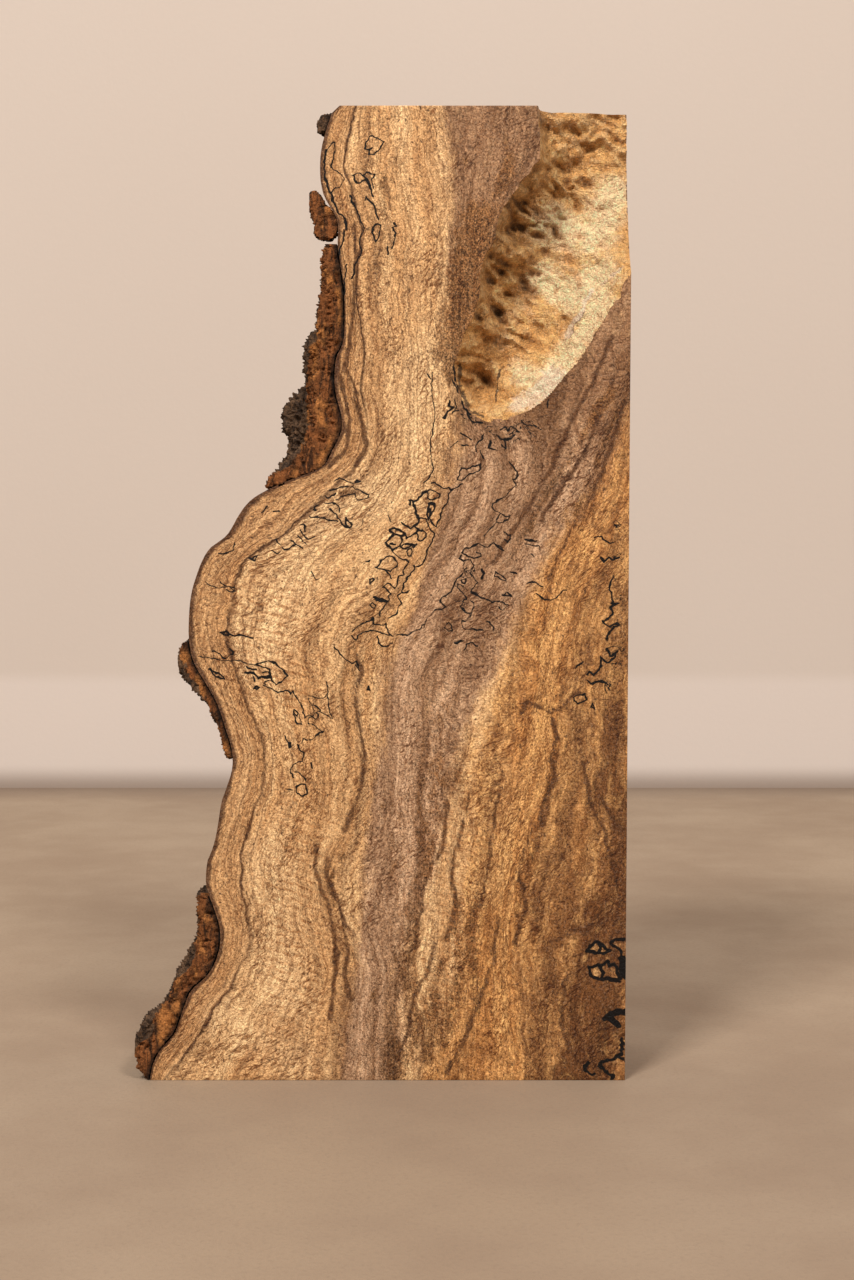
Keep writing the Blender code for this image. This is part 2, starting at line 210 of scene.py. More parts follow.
# layers that run with the live edge, each a line on the front face by its place in the rings
layers = {
    0: [-115,3000, -25,-20, -20,-65, -15,-55, 0,-90, 15,-50, 38,-65, -3,-75, 20,-130, 0,-125, -5,-45, -20,-30, -5,-95,
    17,-70, 6,-60, -33,-65, -15,-35, -40,-25, -70,-25, -70,-30, -50,-30, -35,-40, -40,-70, -55,-40, -30,-55, -25,-75,
    -10,-85, 0,-75, 15,-65, 35,-60, 35,-65, 25,-75, 23,-90, -13,-75, -25,-65, -10,-70, -15,-70, -20,-45, -5,-75, 20,-60,
    25,-85, -10,-80, -35,-65, -50,-45, -30,-75, -20,-60, -50,-55, -22,-50, -8,-45],
    14: [-70,3000, -20,-100, -10,-90, 20,-90, 30,-85, -10,-95, -5,-120, 15,-106, 10,-74, -5,-90, 15,-93, -10,-87,
    -50,-84, -84,-86, -92,-80, -94,-54, -66,-56, -31,-90, -13,-137, 10,-68, 40,-85, 30,-80, 30,-60, 7,-80, -20,-110,
    -34,-107, -23,-126, 0,-72, 27,-115, -10,-75, -47,-115, -57,-53, -60,-107, -73,-90, -25,-40],
    45: [160,3000, 26,-130, 18,-150, 19,-150, 0,-150, -6,-150, -7,-137, 4,-107, 3,-121, -30,-105, -74,-134, -73,-113,
    -80,-103, -50,-80, -15,-110, -1,-110, 21,-123, 5,-117, -20,-117, -26,-79, -31,-64, 7,-93, 30,-111, 30,-86, -3,-104,
    -22,-126, -15,-130],
    70: [514,3000, -24,-130, -60,-120, -60,-120, -24,-150, -16,-150, 4,-150, 26,-123, 50,-91, 20,-92, -40,-124,
    -74,-136, -83,-138, -58,-139, -25,-137, -10,-160, 0,-154, 4,-156, -4,-157, -15,-158, 0,-159, 15,-126, 4,-130],
    88: [1020,3000, -150,-430, -53,-150, -47,-150, -50,-153, -45,-121, -35,-122, -55,-124, -55,-120, -40,-123, -26,-124,
    -4,-123, -14,-124, -36,-156, -37,-156, -23,-157, -20,-157, -20,-160, -10,-157, -6,-193],
    105: [1120,3000, -146,-430, -29,-150, -55,-150, -50,-153, -43,-121, -54,-152, -53,-154, -60,-153, -50,-154,
    -23,-153, -7,-110, -5,-80, -18,-104, -33,-112, -18,-119, -31,-82, -18,-103, -7,-137, 17,-158, 13,-128, 0,-97],
    125: [1250,3000, -155,-430, -42,-300, -73,-213, -75,-244, -75,-243, -53,-217, -20,-186, -7,-157, -6,-155, -17,-175,
    -24,-140, -49,-125, -18,-159, -11,-126, -12,-130],
}
layers = {ring: path(steps, 10) for ring, steps in layers.items()}

# where the wood changes colour: limits that run down the face, and strokes as (line, half width, strength)
zones = {
    "greyLeft": [186,2993, 6,-214, 13,-210, 18,-240, 9,-212, -9,-121, -12,-122, -24,-122, -61,-122, -47,-123, -40,-124,
    -21,-123, -16,-186, -37,-188, -26,-188, -19,-188, -13,-190, -25,-191, -13,-127],
    "greyRight": [969,2993, 9,-876, -181,-121, -76,-122, -75,-122, -91,-122, -77,-123, -82,-154, -76,-155, -55,-156,
    -45,-156, -40,-156, -35,-157, -45,-190, -25,-190, -15,-191],
    "amberLeft": [819,2993, 7,-815, -75,-182, -60,-122, -61,-122, -80,-122, -90,-185, -70,-185, -50,-186, -30,-188,
    -15,-188, -15,-188, -30,-190, -62,-191, -47,-127],
}
zones = {name: path(steps, 10) for name, steps in zones.items()}
strokes = {
    "brown": [([(31,266), (28,250), (24.5,233), (22,222)], 9.5, 1.4), ([(40,282), (33,266)], 6, 0.8), ([(1,298),
    (3,262), (4,240)], 13, 0.25), ([(71,214.8), (64.4,205.7), (59,195), (52.9,184.4), (46.2,173.7), (40.7,164.2)], 2.6,
    0.8), ([(75.3,211.7), (69.9,201.4), (64.5,188), (60,177.7)], 2.0, 0.7), ([(75.4,195), (70,184.4), (64.6,175.2)],
    2.0, 0.5), ([(15.9,73), (13.1,58.8)], 2.0, 0.8), ([(18.7,38.3), (16.6,22.5), (14.1,6.5)], 3.2, 0.8), ([(23.4,58),
    (24.4,32), (20,12)], 3.4, 1.0), ([(30,62), (28.5,42), (30.6,22.5)], 2.6, 0.9), ([(11,19.3), (6.3,0.8)], 3.8, 0.9),
    ([(-12,71.4), (-16,63.6), (-14.8,55.7)], 2.0, 0.8), ([(-8.9,39.9), (-10.2,28.8)], 2.0, 0.7), ([(25.5,105.8),
    (24.9,96.4)], 2.8, 0.5), ([(55.1,112), (54.6,98), (52.1,88.6), (49.7,76.1), (46,63.6), (42.7,51.9)], 1.6, 0.8),
    ([(63.8,99.9), (66.4,79.9), (72.1,68), (74.3,54.4)], 1.6, 0.55), ([(-11.6,183.2), (-6.1,183.5)], 1.6, 0.8),
    ([(18.7,122.9), (15,88.6), (10,57.3), (6.9,25.6), (3.8,1.8)], 12, 0.5)],
    "deep": [([(51.3,76.1), (48.2,57.3), (51.4,38.3), (56.2,25.6)], 7.0, 0.6), ([(70,52), (66,32), (68,12.9), (62,0.8)],
    14.0, 1.4), ([(73,95), (75.3,47.8)], 7.0, 0.9), ([(71.2,115), (68.2,88.6)], 9.0, 0.7), ([(63,112), (60,88),
    (57,60)], 9.5, 0.4)],
    "pale": [([(-24.2,164.5), (-36,138.3)], 18.0, 0.8), ([(0,184), (-18,174)], 13.0, 1.0), ([(-34,69.8), (-29.9,25.6)],
    15.0, 0.7), ([(14.1,220.8), (6.5,187.4)], 16.0, 0.7), ([(-51.4,22.5), (-25,6.5)], 12.0, 0.5)],
    "curl": [([(-33.5,147.6), (-27.5,122.9)], 20.0, 1.0), ([(-24.6,88.6), (-27.8,57.3), (-24.9,25.6)], 17.0, 1.0),
    ([(33,95), (26,60), (20,25)], 18.0, 0.75)],
    "honey": [([(38,98), (33,60)], 10, 0.95), ([(58,126), (65,100)], 8, 0.6), ([(66,42.1), (69.5,42.1)], 2.0, 1.4),
    ([(66.4,34.5), (68.6,34.5)], 2.6, 1.4), ([(72,34.2), (73.2,33.9)], 2.3, 1.4), ([(72.9,43.1), (76.3,42.4)], 1.6, 1),
    ([(67.9,47.8), (76.6,47.5)], 1.4, 0.6), ([(72.5,5.9), (76.3,3.4)], 2.6, 0.8)],
    "ink": [([(22,192), (13,180), (6,168), (-1,155), (-5,146)], 6.0, 0.55), ([(-30,187), (-12,180), (-2,184)], 6.5,
    0.5), ([(33,218), (28,206), (34,198)], 6.0, 0.55), ([(-2,286), (-1,268), (1,250)], 5.0, 0.3), ([(38,178), (30,165),
    (24,150)], 9.0, 0.5), ([(27,207), (40,200), (53,207)], 6.5, 0.62), ([(-48,158), (-46,148), (-40,135), (-25,122),
    (-22,108)], 5.5, 0.5), ([(73,172), (74,150), (69,120)], 7.0, 0.62)],
}
brownLines = [
    [209,883, -9,-69, 0,-72, -34,-53, -25,-53, -10,-73, -9,-53, -9,-89], [-160,705, -9,-54, 27,-53, 25,-70, 9,-53,
    9,-73, -9,-73, 15,-73], [-194,742, -9,-72, 33,-88, 19,-72, 18,-89, -10,-127, -13,-101], [-68,1340, 15,-52, -25,-69,
    9,-71, 15,-71, 10,-50, -16,-109, -47,-125], [612,1219, -52,-43, -37,-19, -68,35, -18,-35], [629,1008, 28,-143,
    44,-88, 20,-88, 25,-107, -9,-72, -121,-35, -90,-38], [580,329, -15,-108, 6,-70, 48,-92], [682,902, 38,-72, 34,-53],
    [175,437, -34,-108, -38,-69, -15,-109, -38,-92], [368,510, -16,-143, -37,-92, -34,-108, -71,-143], [-74,2650,
    9,-102, -6,-120, -13,-120, -18,-85, 27,-69, 15,-85, 27,-85, -34,-70], [-126,2545, 18,-126, -6,-120, -13,-67, 15,-69,
    24,-106, -15,-91, -46,-49], [709,2308, -60,-145, -78,-137, -51,-130, -85,-138, -86,-138], [728,2223, -45,-136,
    -60,-137, -70,-106, -60,-92], [747,2117, -42,-151, -42,-122, -63,-107, -58,-107, -33,-123], [535,1139, 10,-65,
    -15,-63, 16,-62, -34,-63, -37,-93, -34,-79, -5,-78, 22,-79, -22,-63, -15,-63], [280,918, -25,-125, -30,-126, 9,-110,
    -25,-111], [373,949, -25,-156, -12,-126, -31,-126], [607,494, 25,-13, 53,19, 37,10],
]
brownSets = {0.4: [path(steps, 10) for steps in brownLines]}  # also by half their width
zoneLines = {  # the black lines of the front face, by half their width
    0.13: [[-111,266, 23,-2, 12,-3], [-53,245, 8,-17, 2,2, 5,-3, 1,3, -2,1, 2,1, 4,-1, 3,-3], [-43,243, 6,-3, 3,1, 2,2,
    0,4, -1,3], [-32,243, 3,-15], [-43,241, 0,-3, 3,-8, -3,-2, 0,-3, 8,-5, -5,-2, -2,-3, -3,-1, -2,2, -1,-3], [-48,224,
    0,2, -1,4], [-49,209, 2,-3, 0,-4, -7,-3, -2,-4, 3,-4], [-53,194, 3,0, 4,-5], [-58,184, 4,-1], [-99,330, 9,1, 2,5],
    [-106,312, 7,-3, 8,0, 3,-2, -2,-1, -3,1], [-98,312, 3,-2, 7,-1], [-26,363, 3,1, 8,2, 2,-3, 3,0, 3,1, 1,2, -13,5,
    -10,-2], [-27,374, 3,2, 8,-3], [-42,319, 2,-4, 3,-1], [84,372, -10,-9, -4,-2, -1,-3, 5,-4, -2,-6, -8,-7], [74,354,
    3,-2, 3,1, -2,-3, -6,-2], [79,386, 7,-8, -4,-3, 2,-3], [61,337, 6,-3, 3,2, 6,-3], [53,302, -2,-1, -1,-3, 2,-4,
    3,-2], [56,326, 2,-4, -2,-4, 5,-6, -5,-6], [73,301, 6,-3, -3,-3, -3,2], [56,291, -3,-2, -3,0, 1,-4, 3,-2, 4,0],
    [38,299, 3,-3, -6,0, -10,-13], [40,284, 3,3, 2,-2, 0,-3, -3,0, -2,2], [89,335, 10,0, 1,-3], [103,435, 5,3], [48,399,
    -4,-5], [-32,574, 3,3, 2,1, -1,-14, 7,-8, -2,-4, -6,-3], [33,440, -1,-7, 2,-22, -2,-12, 0,-18, -4,-9]],
    0.19: [[32,373, 2,1, 5,-4, 3,1, 2,-2, 8,3], [29,368, 3,1, 3,-1, 2,-3, -1,-2, -4,0, -2,2, -1,3], [44,369, -2,-2,
    1,-3, -3,-5, -4,-13, -2,1, -3,5], [24,350, 4,1, 6,-9, -4,-13, -6,-7], [9,331, 4,4, 1,3, -1,2], [15,342, 1,-3, 7,3,
    1,2, -2,2], [23,342, 0,-3, 2,-1, 3,2, 0,2, -2,2, -3,-2], [13,335, 2,-2, 3,0, 2,2, -2,1, -5,-1], [17,331, 1,-3, 2,0,
    1,3, -1,2, -3,-2], [1,327, 5,1, 4,-3, 1,-3, -4,-4, -9,4, 3,5], [4,319, 3,-5], [8,331, 2,-3, 8,-3, -3,-5, 1,-3,
    -4,-2, -2,-5, -1,-1, -4,2, -2,-2, 4,-4, -6,-11, -1,-3], [21,322, 0,-4, -5,-6, -2,-6, -3,-2, 3,-6, -2,-2, 0,-3,
    -6,-3], [-6,314, 2,1, 1,-1, -2,-2, -1,2], [-7,325, 2,1, 0,-1, -2,0], [-6,299, 2,1, 2,-2, -1,-2, -2,1, -1,2],
    [-17,282, 6,5, 7,3, 1,-3, 4,-1, 3,1, 2,-6, 3,-2, 3,1, 6,0, 7,3], [-17,279, 3,-2, 3,3, 6,3, 7,-3, 4,0], [-2,278,
    4,-5, 3,0, 3,2], [-27,272, 7,-8, 4,-2, 3,2, 1,-6, -2,3], [50,330, 3,3, 8,4], [50,330, 8,-3, 4,1, 0,3, -3,0],
    [50,328, -2,-2, 3,-1, 4,1], [54,321, -7,-6, -3,-8, -6,-5, 0,-3], [50,314, 3,1, 0,-3, -2,0, -1,2], [48,309, 4,-4,
    1,-3], [56,306, 13,-7, 4,2], [56,301, 2,-2, -2,-8], [70,316, 2,3, 6,-4, 0,-2, -8,3], [81,319, 4,-1], [76,305, 3,1,
    3,-2, -3,0, -3,1], [56,283, 7,0], [52,270, 1,4, 3,1, 4,-2], [66,288, 4,-2, 1,-3], [93,330, 2,-2], [77,344, 2,-2,
    2,0, 0,-3, -2,-3, -2,3], [71,335, 6,-4], [50,383, -2,-8, 3,0, 11,7, 0,3, -8,-3, -4,1], [50,404, 6,-4], [46,423,
    1,-4, -2,-4, 3,1], [45,436, 5,-10], [74,405, 3,2, 2,-3, 2,3, 5,-4], [72,401, 4,-2, 7,3], [64,402, -3,-3, -2,-3,
    0,-4], [68,399, -1,-4, 3,-2], [76,399, 1,-5, -3,2], [87,411, 2,-2, 4,0, 3,-2], [51,397, 3,0], [62,393, 2,-4],
    [103,424, 0,-4], [-103,270, 9,-4, 4,3, -2,2], [-105,259, 6,-3, 4,-3, -3,0, -7,6], [-76,261, 8,3, 4,-2, 8,-8, -7,-5,
    -2,3, -3,7, -7,2], [-78,254, 1,-3], [-72,256, 4,1, 1,-2], [-67,252, -2,-1, 0,-2], [-70,248, 6,-3, 8,0, 2,-2, 1,2],
    [-52,233, 2,-2, -1,-2, -2,2, 1,2], [-53,230, 2,-5, 3,-1], [-58,217, 2,-7], [-40,236, 4,-3, -2,1, -2,2], [-42,197,
    0,3], [-52,185, 3,2, 3,0, 2,-3, -1,-3, -4,-1, -3,2, 0,3], [-79,327, 5,1, -1,-2, -4,1], [-43,353, 1,-1, 9,0, 7,-3],
    [-41,357, 3,-1, -2,2, 3,1], [-30,357, 7,-9, 3,-2, 2,0, 2,2, -4,4], [-33,361, 6,-1, 2,-2, 0,-3], [-33,366, 2,-2,
    5,3], [-48,347, 2,0, 1,-3], [-48,344, 5,-5, 3,1], [-50,341, 5,-5], [-53,337, 6,-4], [-59,333, 4,-1, 3,3], [-66,332,
    3,-2, 2,1], [-64,338, 3,-3], [-72,355, 3,3], [-65,355, 4,1], [-8,575, 1,4, 1,2, 2,1, 8,-3, -4,-6, -2,-1, -3,0, 1,3,
    -4,0], [-16,558, 4,2, 5,-3, -3,-3, -3,0, -3,4], [-9,559, 2,2, 4,-2, -1,-5, 1,-3], [-7,544, 0,2, 4,-6, 3,-8],
    [-4,524, 3,5, 2,-1, 0,-5, -3,-5, -2,6], [9,529, 2,-1, -3,-2, 2,-3, -2,-7], [-18,546, 10,-18, -3,-8, 1,-6, -6,-17],
    [-20,505, -1,-21], [-21,525, -3,-15], [30,439, 1,-3], [6,353, 2,-4], [-7,246, 2,0, -1,2, -1,-2], [140,250, -1,-1,
    1,-6], [121,241, 3,2, 3,0, 1,-2, -5,-4, -2,1, 0,3], [131,238, -1,-3, 2,-1, -1,3], [121,260, 5,3], [132,340, 4,0,
    5,-4, 2,0], [96,305, 5,-4, 6,1, 8,5], [91,311, 3,1, 6,-2]],
    0.28: [[29,368, -3,-1, -3,-5, -3,-1, 4,-11, -1,-3, -3,-1, -3,1, -3,2], [31,361, 3,-1, 0,-2, -4,-7, -1,3, 2,7],
    [21,361, -3,2, 0,-3], [31,357, 0,-5], [7,344, 3,1, 5,-3, -1,-2, -3,1, -4,3], [9,341, -5,-5, 5,-5], [17,335, 6,1,
    -2,-2], [7,335, 3,1], [-3,303, 7,-2, -3,-1, -4,3], [15,306, 3,0], [46,446, -1,-3, 5,-15, 2,-9, 3,-3, 9,-3, 4,4],
    [54,419, 0,-4, 2,-4, 3,-2, 4,0], [43,423, -1,-3, 3,-1, -5,-6], [-82,260, 4,-2, 3,0], [-83,257, 6,-1, 2,-3, 8,1],
    [-78,247, 3,1, 2,-1, -2,-1, -3,1], [-56,213, 0,-3, 1,1, 0,2], [-50,212, 1,-3], [-15,374, 3,0], [-20,352, 0,-4, 2,-2,
    -3,1], [-92,280, 15,-2], [-98,281, 3,-2, 2,0, 1,2, -2,1, -4,-1], [47,275, 3,2, 1,-1, -4,-1], [63,320, 1,-2, -1,-3],
    [89,338, 8,0], [-32,574, 0,-18, 2,-6, 5,-12, 4,-5, 1,-7], [-7,556, 4,-10], [5,516, 0,-5], [136,327, 2,-2, 3,2, 2,-2,
    4,2], [144,316, -2,-8, 2,-2, -1,-2, 1,-3, -2,-2, 5,0, -6,-2, 3,-5, -2,-2, -3,-2, -2,0, 4,-4, 6,3, 1,-1, -5,-3,
    -3,-5], [140,271, 3,-4, 4,3, -2,-4, -5,-3, -4,3, 0,-6, -4,-5, -2,2, -1,-2], [129,251, 2,-1, 2,1, 5,-1, 2,0]],
    0.44: [[128,82, 7,6, 8,-5, -4,-2, -11,1], [136,87, 1,-3, -1,-2], [143,87, 3,2, 7,2], [143,87, 7,-5, 1,-4], [130,72,
    6,2, 2,-1, 2,-5, -2,-3, -7,1, -1,6], [138,73, 4,3, 1,-4, 3,2, 2,-2, 2,-7, -11,0], [143,64, 6,-1], [152,27, -1,-1,
    2,-2, -2,-1, 2,-3, -2,-1, 1,-2, -14,-6, -1,-2, 8,-5, 0,-3], [148,16, 2,-2, 3,0], [131,11, -3,-2, 0,-2, 4,-3, 2,0]],
    0.85: [[142,39, 3,-1, 4,-3]],
    1.2: [[141,39, 3,3, 4,2, 6,0], [151,77, 2,-10]],
}
zoneLines = {half: [path(steps, 2) for steps in lines] for half, lines in zoneLines.items()}


def alongLine(points, up):  # where a line that runs down the face is at each height
    heights = [z for _, z in points][::-1]
    return np.interp(up, heights, [x for x, _ in points][::-1])


def toLine(points, across, up):  # how far each place is from a line
    least = np.full(np.shape(across), 1e6)
    for (ax, az), (bx, bz) in zip(points, points[1:]):
        run, rise = bx - ax, bz - az
        share = np.clip(((across - ax) * run + (up - az) * rise) / (run * run + rise * rise), 0, 1)
        least = np.minimum(least, np.hypot(across - ax - share * run, up - az - share * rise))
    return least


def lineGap(sets, across, up):  # how far each place is outside the nearest line, up to 4 mm
    least = np.full(len(across), 4.0)
    for half, lines in sets.items():
        for points in lines:
            low, high = np.min(points, axis=0) - 4, np.max(points, axis=0) + 4
            near = (across > low[0]) & (across < high[0]) & (up > low[1]) & (up < high[1])
            if near.any():
                least[near] = np.minimum(least[near], toLine(points, across[near], up[near]) - half)
    return least


def bell(value):  # 1 at 0, down to 0 at 1 and beyond
    value = np.clip(np.abs(value), 0, 1)
    return (1 - value * value) ** 2


def smooth(value, low, high):
    share = np.clip((value - low) / (high - low), 0, 1)
    return share * share * (3 - 2 * share)


def uneven(places, size, seed):  # smooth unevenness at many places, from about -1 to 1
    return np.array([noise.noise(Vector(p) / size + Vector((seed, 0, 0))) for p in places])


def wobble(places):  # where on the front face a point reads the drawn lines, so that they waver
    x = places[:, 0] + 0.42 * uneven(places, 1.2, 31.5) + 0.8 * uneven(places, 4, 33.5)
    return x, places[:, 2] + 0.42 * uneven(places, 1.2, 36.5) + 0.8 * uneven(places, 4, 38.5)


def painted(lines, across, up):  # strokes that fade out to their half width
    made = np.zeros(len(across))
    for points, half, strength in lines:
        made = np.maximum(made, strength * bell(toLine(points, across, up) / half))
    return made


def woodMap(places, edgeShift):
    # moves each place back to the front face along the layers, then reads the map there
    across, back, up = places[:, 0], (places[:, 1] - block["front"]) / block["thick"], places[:, 2]
    x = across - edgeShift + 5.5 * (back * uneven(places, 42, 1.5))
    z = np.clip(up + 9.0 * (back * uneven(places, 38, 8.5)), 0, block["tall"])
    values = sorted(layers)
    lines = [alongLine(layers[v], z) for v in values]
    ring = np.where(x < lines[0], x - lines[0], values[-1] + (x - lines[-1]) * 0.9)
    for k in range(len(values) - 1):
        share = (x - lines[k]) / (lines[k + 1] - lines[k])
        inside = (share >= 0) & (share < 1)
        ring = np.where(inside, values[k] + share * (values[k + 1] - values[k]), ring)
    wave = 1.6 * uneven(places, 9, 4.2) + 4.5 * uneven(places / (1, 1, 2.5), 15, 11.3)
    past = {name: x - alongLine(line, z) + wave for name, line in zones.items()}
    softer = smooth(z, 180, 230)  # the grey's left limit, toward the top
    grey = smooth(past["greyLeft"], -4 - 4 * softer, 6 + 3 * softer)
    made = {"ring": ring, "along": z, "grey": grey * (1 - smooth(past["greyRight"], -6, 7)),
            "amber": smooth(past["amberLeft"], -12, 7)}
    for name, lines in strokes.items():
        made[name] = painted(lines, x + wave * 0.3, z)
    return made


# sawn spalted maple: the brown bands at their places in the rings, below and above the bulge

ringSpan = 130.0
ringBands = {
    "low": [(0,0.7), (1.6,0.2), (3.4,0.12), (4.2,0.9), (4.9,0.12), (8,0.1), (8.8,0.8), (9.8,0.12), (12.9,0.15),
    (13.6,1.0), (14.4,0.85), (15.6,0.12), (27,0.0), (33,0.08), (36,0.5), (37,0.05), (40,0.1), (42.5,0.5), (44,0.85),
    (46,0.15), (48.5,0.6), (50,0.1), (66,0.1), (69,0.6), (70.5,0.12), (78,0.5), (79.5,0.1), (86,0.5), (87.5,0.1),
    (104,0.1), (105,0.8)],
    "high": [(0,0.7), (2.6,0.2), (3.4,0.8), (4.2,0.15), (7,0.12), (8,0.7), (9,0.1), (12.6,0.15), (14,0.9), (15,0.1),
    (20,0.5), (22,0.08), (27,0.1), (31,0.25), (33,0.04), (39,0.05), (42,0.3), (43.5,0.04), (60,0.05), (70,0.05),
    (78,0.3), (82,0.05), (90,0.35), (94,0.1), (103,0.3), (106,0.1)],
}


def ringTones(ring, stops):
    node = addNode(ring.tree, "ShaderNodeValToRGB", {0: ring / ringSpan})
    elements = node.color_ramp.elements
    elements.remove(elements[-1])
    for at, strength in stops:
        stop = elements.new(at / ringSpan)
        stop.color = (strength, strength, strength, 1.0)
    elements.remove(elements[0])
    return Value(ring.tree, node.outputs[0])


def makeWood():
    material, tree, shader, place = newMaterial("sawnMaple")
    ringAt, alongAt, amber = (stored(tree, name) for name in ("ring", "along", "amber"))
    grain = grainAt(tree, place, 1.0, 3.4)
    ring, depth = grain["Ring"], place.part("Y")
    rings = joined(ring, alongAt, depth)
    patch = rings.drift((5, 26, 20), 3, 0.6)
    mottle = place.cloud((3.2, 3.2, 4.5), 4, 0.7, 0.4)
    grit = place.drift((0.45, 0.45, 0.5), 2, 0.6)
    ragged = mottle - 0.5 + patch
    broad = grain["Broad"].fade(0.36, 0.64)
    tone = broad.between((232, 192, 140), (210, 164, 112)).mix(stored(tree, "pale") * 0.8, (242, 206, 156))
    steps = (  # map, how much, how ragged, its lighter and darker tones
        ("grey", 0.95, 1.0, (152, 115, 84), (110, 78, 52)), ("amber", 0.9, 1.0, (236, 180, 112), (194, 136, 76)),
        ("brown", 0.82, 2.2, (136, 94, 52), (92, 62, 32)), ("deep", 0.92, 1.0, (84, 42, 9), (40, 20, 4)),
        ("honey", 0.95, 1.0, (238, 190, 126), (214, 164, 106)),
    )
    for name, most, tear, light, dark in steps:
        tones = broad.between(light, dark)
        if name == "grey":  # lighter below the hollow
            tones = tones.mix(alongAt.fade(186, 212, 1.0, 0.0), broad.between((196, 160, 127), (148, 114, 85)))
        tone = tone.mix(ragged.timesPlus(tear, stored(tree, name)).fade(0.2, 0.92) * most, tones)
    figure, swirl = place.cloud((6, 6, 8), 4, 0.62, 1.4), amber * 0.55  # swirls, in the amber wood alone
    tone = tone.mix(figure.fade(0.5, 0.62) * swirl, (122, 76, 36))
    tone = tone.mix(figure.fade(0.46, 0.36) * swirl, (234, 182, 114))
    streaks = rings.cloud((1.5, 15, 12), 4, 0.7).fade(0.48, 0.6) * amber.fade(0.0, 1.0, 0.1, 0.52)
    tone = tone.mix(streaks, (134, 86, 43))

    # the brown bands, the lines between the rings and the drawn brown lines
    band = alongAt.fade(150, 190).between(*(ringTones(ring, ringBands[name]) for name in ("low", "high")))
    tone = tone.mix(band * patch.fade(-0.16, 0.1, 0.45, 1.0) * 0.85, (112, 74, 42))
    tone = tone.mix(ring.fade(12.5, 14, 0.45, 0.0), (176, 126, 78))  # by the edge
    inner = (ring - 13.9).calc("ABSOLUTE").fade(0.2, 0.75, 0.9, 0.0)
    tone = tone.mix(inner * patch.fade(-0.14, 0.06, 0.3, 1.0), (84, 54, 30))
    tone = tone.mix(grain["Line"] * ringAt.fade(12, 40, 0.75, 0.34), (120, 82, 50))
    drawn = grit.timesPlus(1.6, patch.timesPlus(1.6, stored(tree, "brownGap")))
    tone = tone.mix(drawn.fade(-0.1, 0.55, 0.9, 0.0), (88, 55, 29))
    tone = tone.mix((ringAt + ragged * 2.5).fade(1.0, 2.4, 1.0, 0.0) * 0.9, (84, 54, 34))

    # the bars of the curl, then the marks of the grain and the saw
    bars = ringAt.timesPlus(0.35, patch.timesPlus(6, alongAt)) * (2 * math.pi / 2.7)
    bars = bars.calc("SINE").fade(0.1, 1.0) * mottle.fade(0.42, 0.56, 0.3, 1.0)
    tone = tone.mix(bars * (stored(tree, "curl") * 0.75), (160, 110, 64))
    darker = tone.mix(1.0, (160, 132, 106), "MULTIPLY")
    tone = tone.mix(grain["Fine"].fade(0.42, 0.66) * 0.55, darker)
    tone = tone.mix(grain["Hair"].fade(0.45, 0.64) * 0.36, darker)
    darker = tone.mix(1.0, (136, 106, 80), "MULTIPLY")
    tone = tone.mix(grain["Fleck"] * patch.fade(-0.12, 0.15, 0.25, 0.9), darker)
    lighter = tone.mix(1.0, (96, 88, 78), "ADD")
    tone = tone.mix(grit.fade(0.02, 0.2, 0.0, 0.55), darker).mix(grit.fade(-0.04, -0.2, 0.0, 0.4), lighter)
    dashes = joined(ring - alongAt, ringAt + alongAt, depth).cloud((0.85, 3.4, 1.6), 2, 0.6).fade(0.5, 0.64)
    tone = tone.mix(dashes * rings.cloud((9, 20, 20), 2).fade(0.44, 0.62, 0.05, 0.85), darker)
    tone = tone.speckled(place, stored(tree, "brown").timesPlus(2.8, 2.4), 1.3, 1.24)
    tone = tone.mix(place.cloud((1.1, 1.1, 1.3), 0).fade(0.77, 0.82) * 0.75, (70, 46, 30))
    sockets = {"Place": place, "Mask": stored(tree, "ink"), "Size": 5.0}
    ink = place.node("ShaderNodeGroup", sockets, node_tree=spaltGroup)
    drawn = grit.timesPlus(0.3, stored(tree, "inkGap")).fade(-0.04, 0.17, 1.0, 0.0)
    tone = tone.mix(ink.calc("MAXIMUM", drawn), (14, 10, 8))

    height = grit.timesPlus(-0.8, grain["Fleck"].timesPlus(-0.5, grain["Fine"] * -0.6))
    finishMaterial(shader, tone, grain["Fleck"].fade(0.0, 1.0, 0.52, 0.68), height, 0.00025, 0.9)
    shader.inputs["Specular IOR Level"].default_value = 0.2
    return material


# the brown skin under the bark, along the live edge

def makeSkin():
    material, _, shader, place = newMaterial("liveEdgeSkin")
    ridges, grit = place.cloud((1.2, 1.6, 16), 3, 0.6, 0.3), place.cloud((0.5, 0.5, 0.8), 2)
    tone = place.cloud((9, 9, 30), 3, 0.6).fade(0.35, 0.65).between((118, 80, 50), (82, 54, 36))
    tone = tone.mix(ridges.fade(0.4, 0.7) * 0.7, (52, 35, 25)).mix(grit.fade(0.55, 0.75) * 0.5, (150, 108, 70))
    finishMaterial(shader, tone, grit.fade(0.3, 0.7, 0.7, 0.9), ridges.timesPlus(1.0, grit * 0.35), 0.0007)
    return material
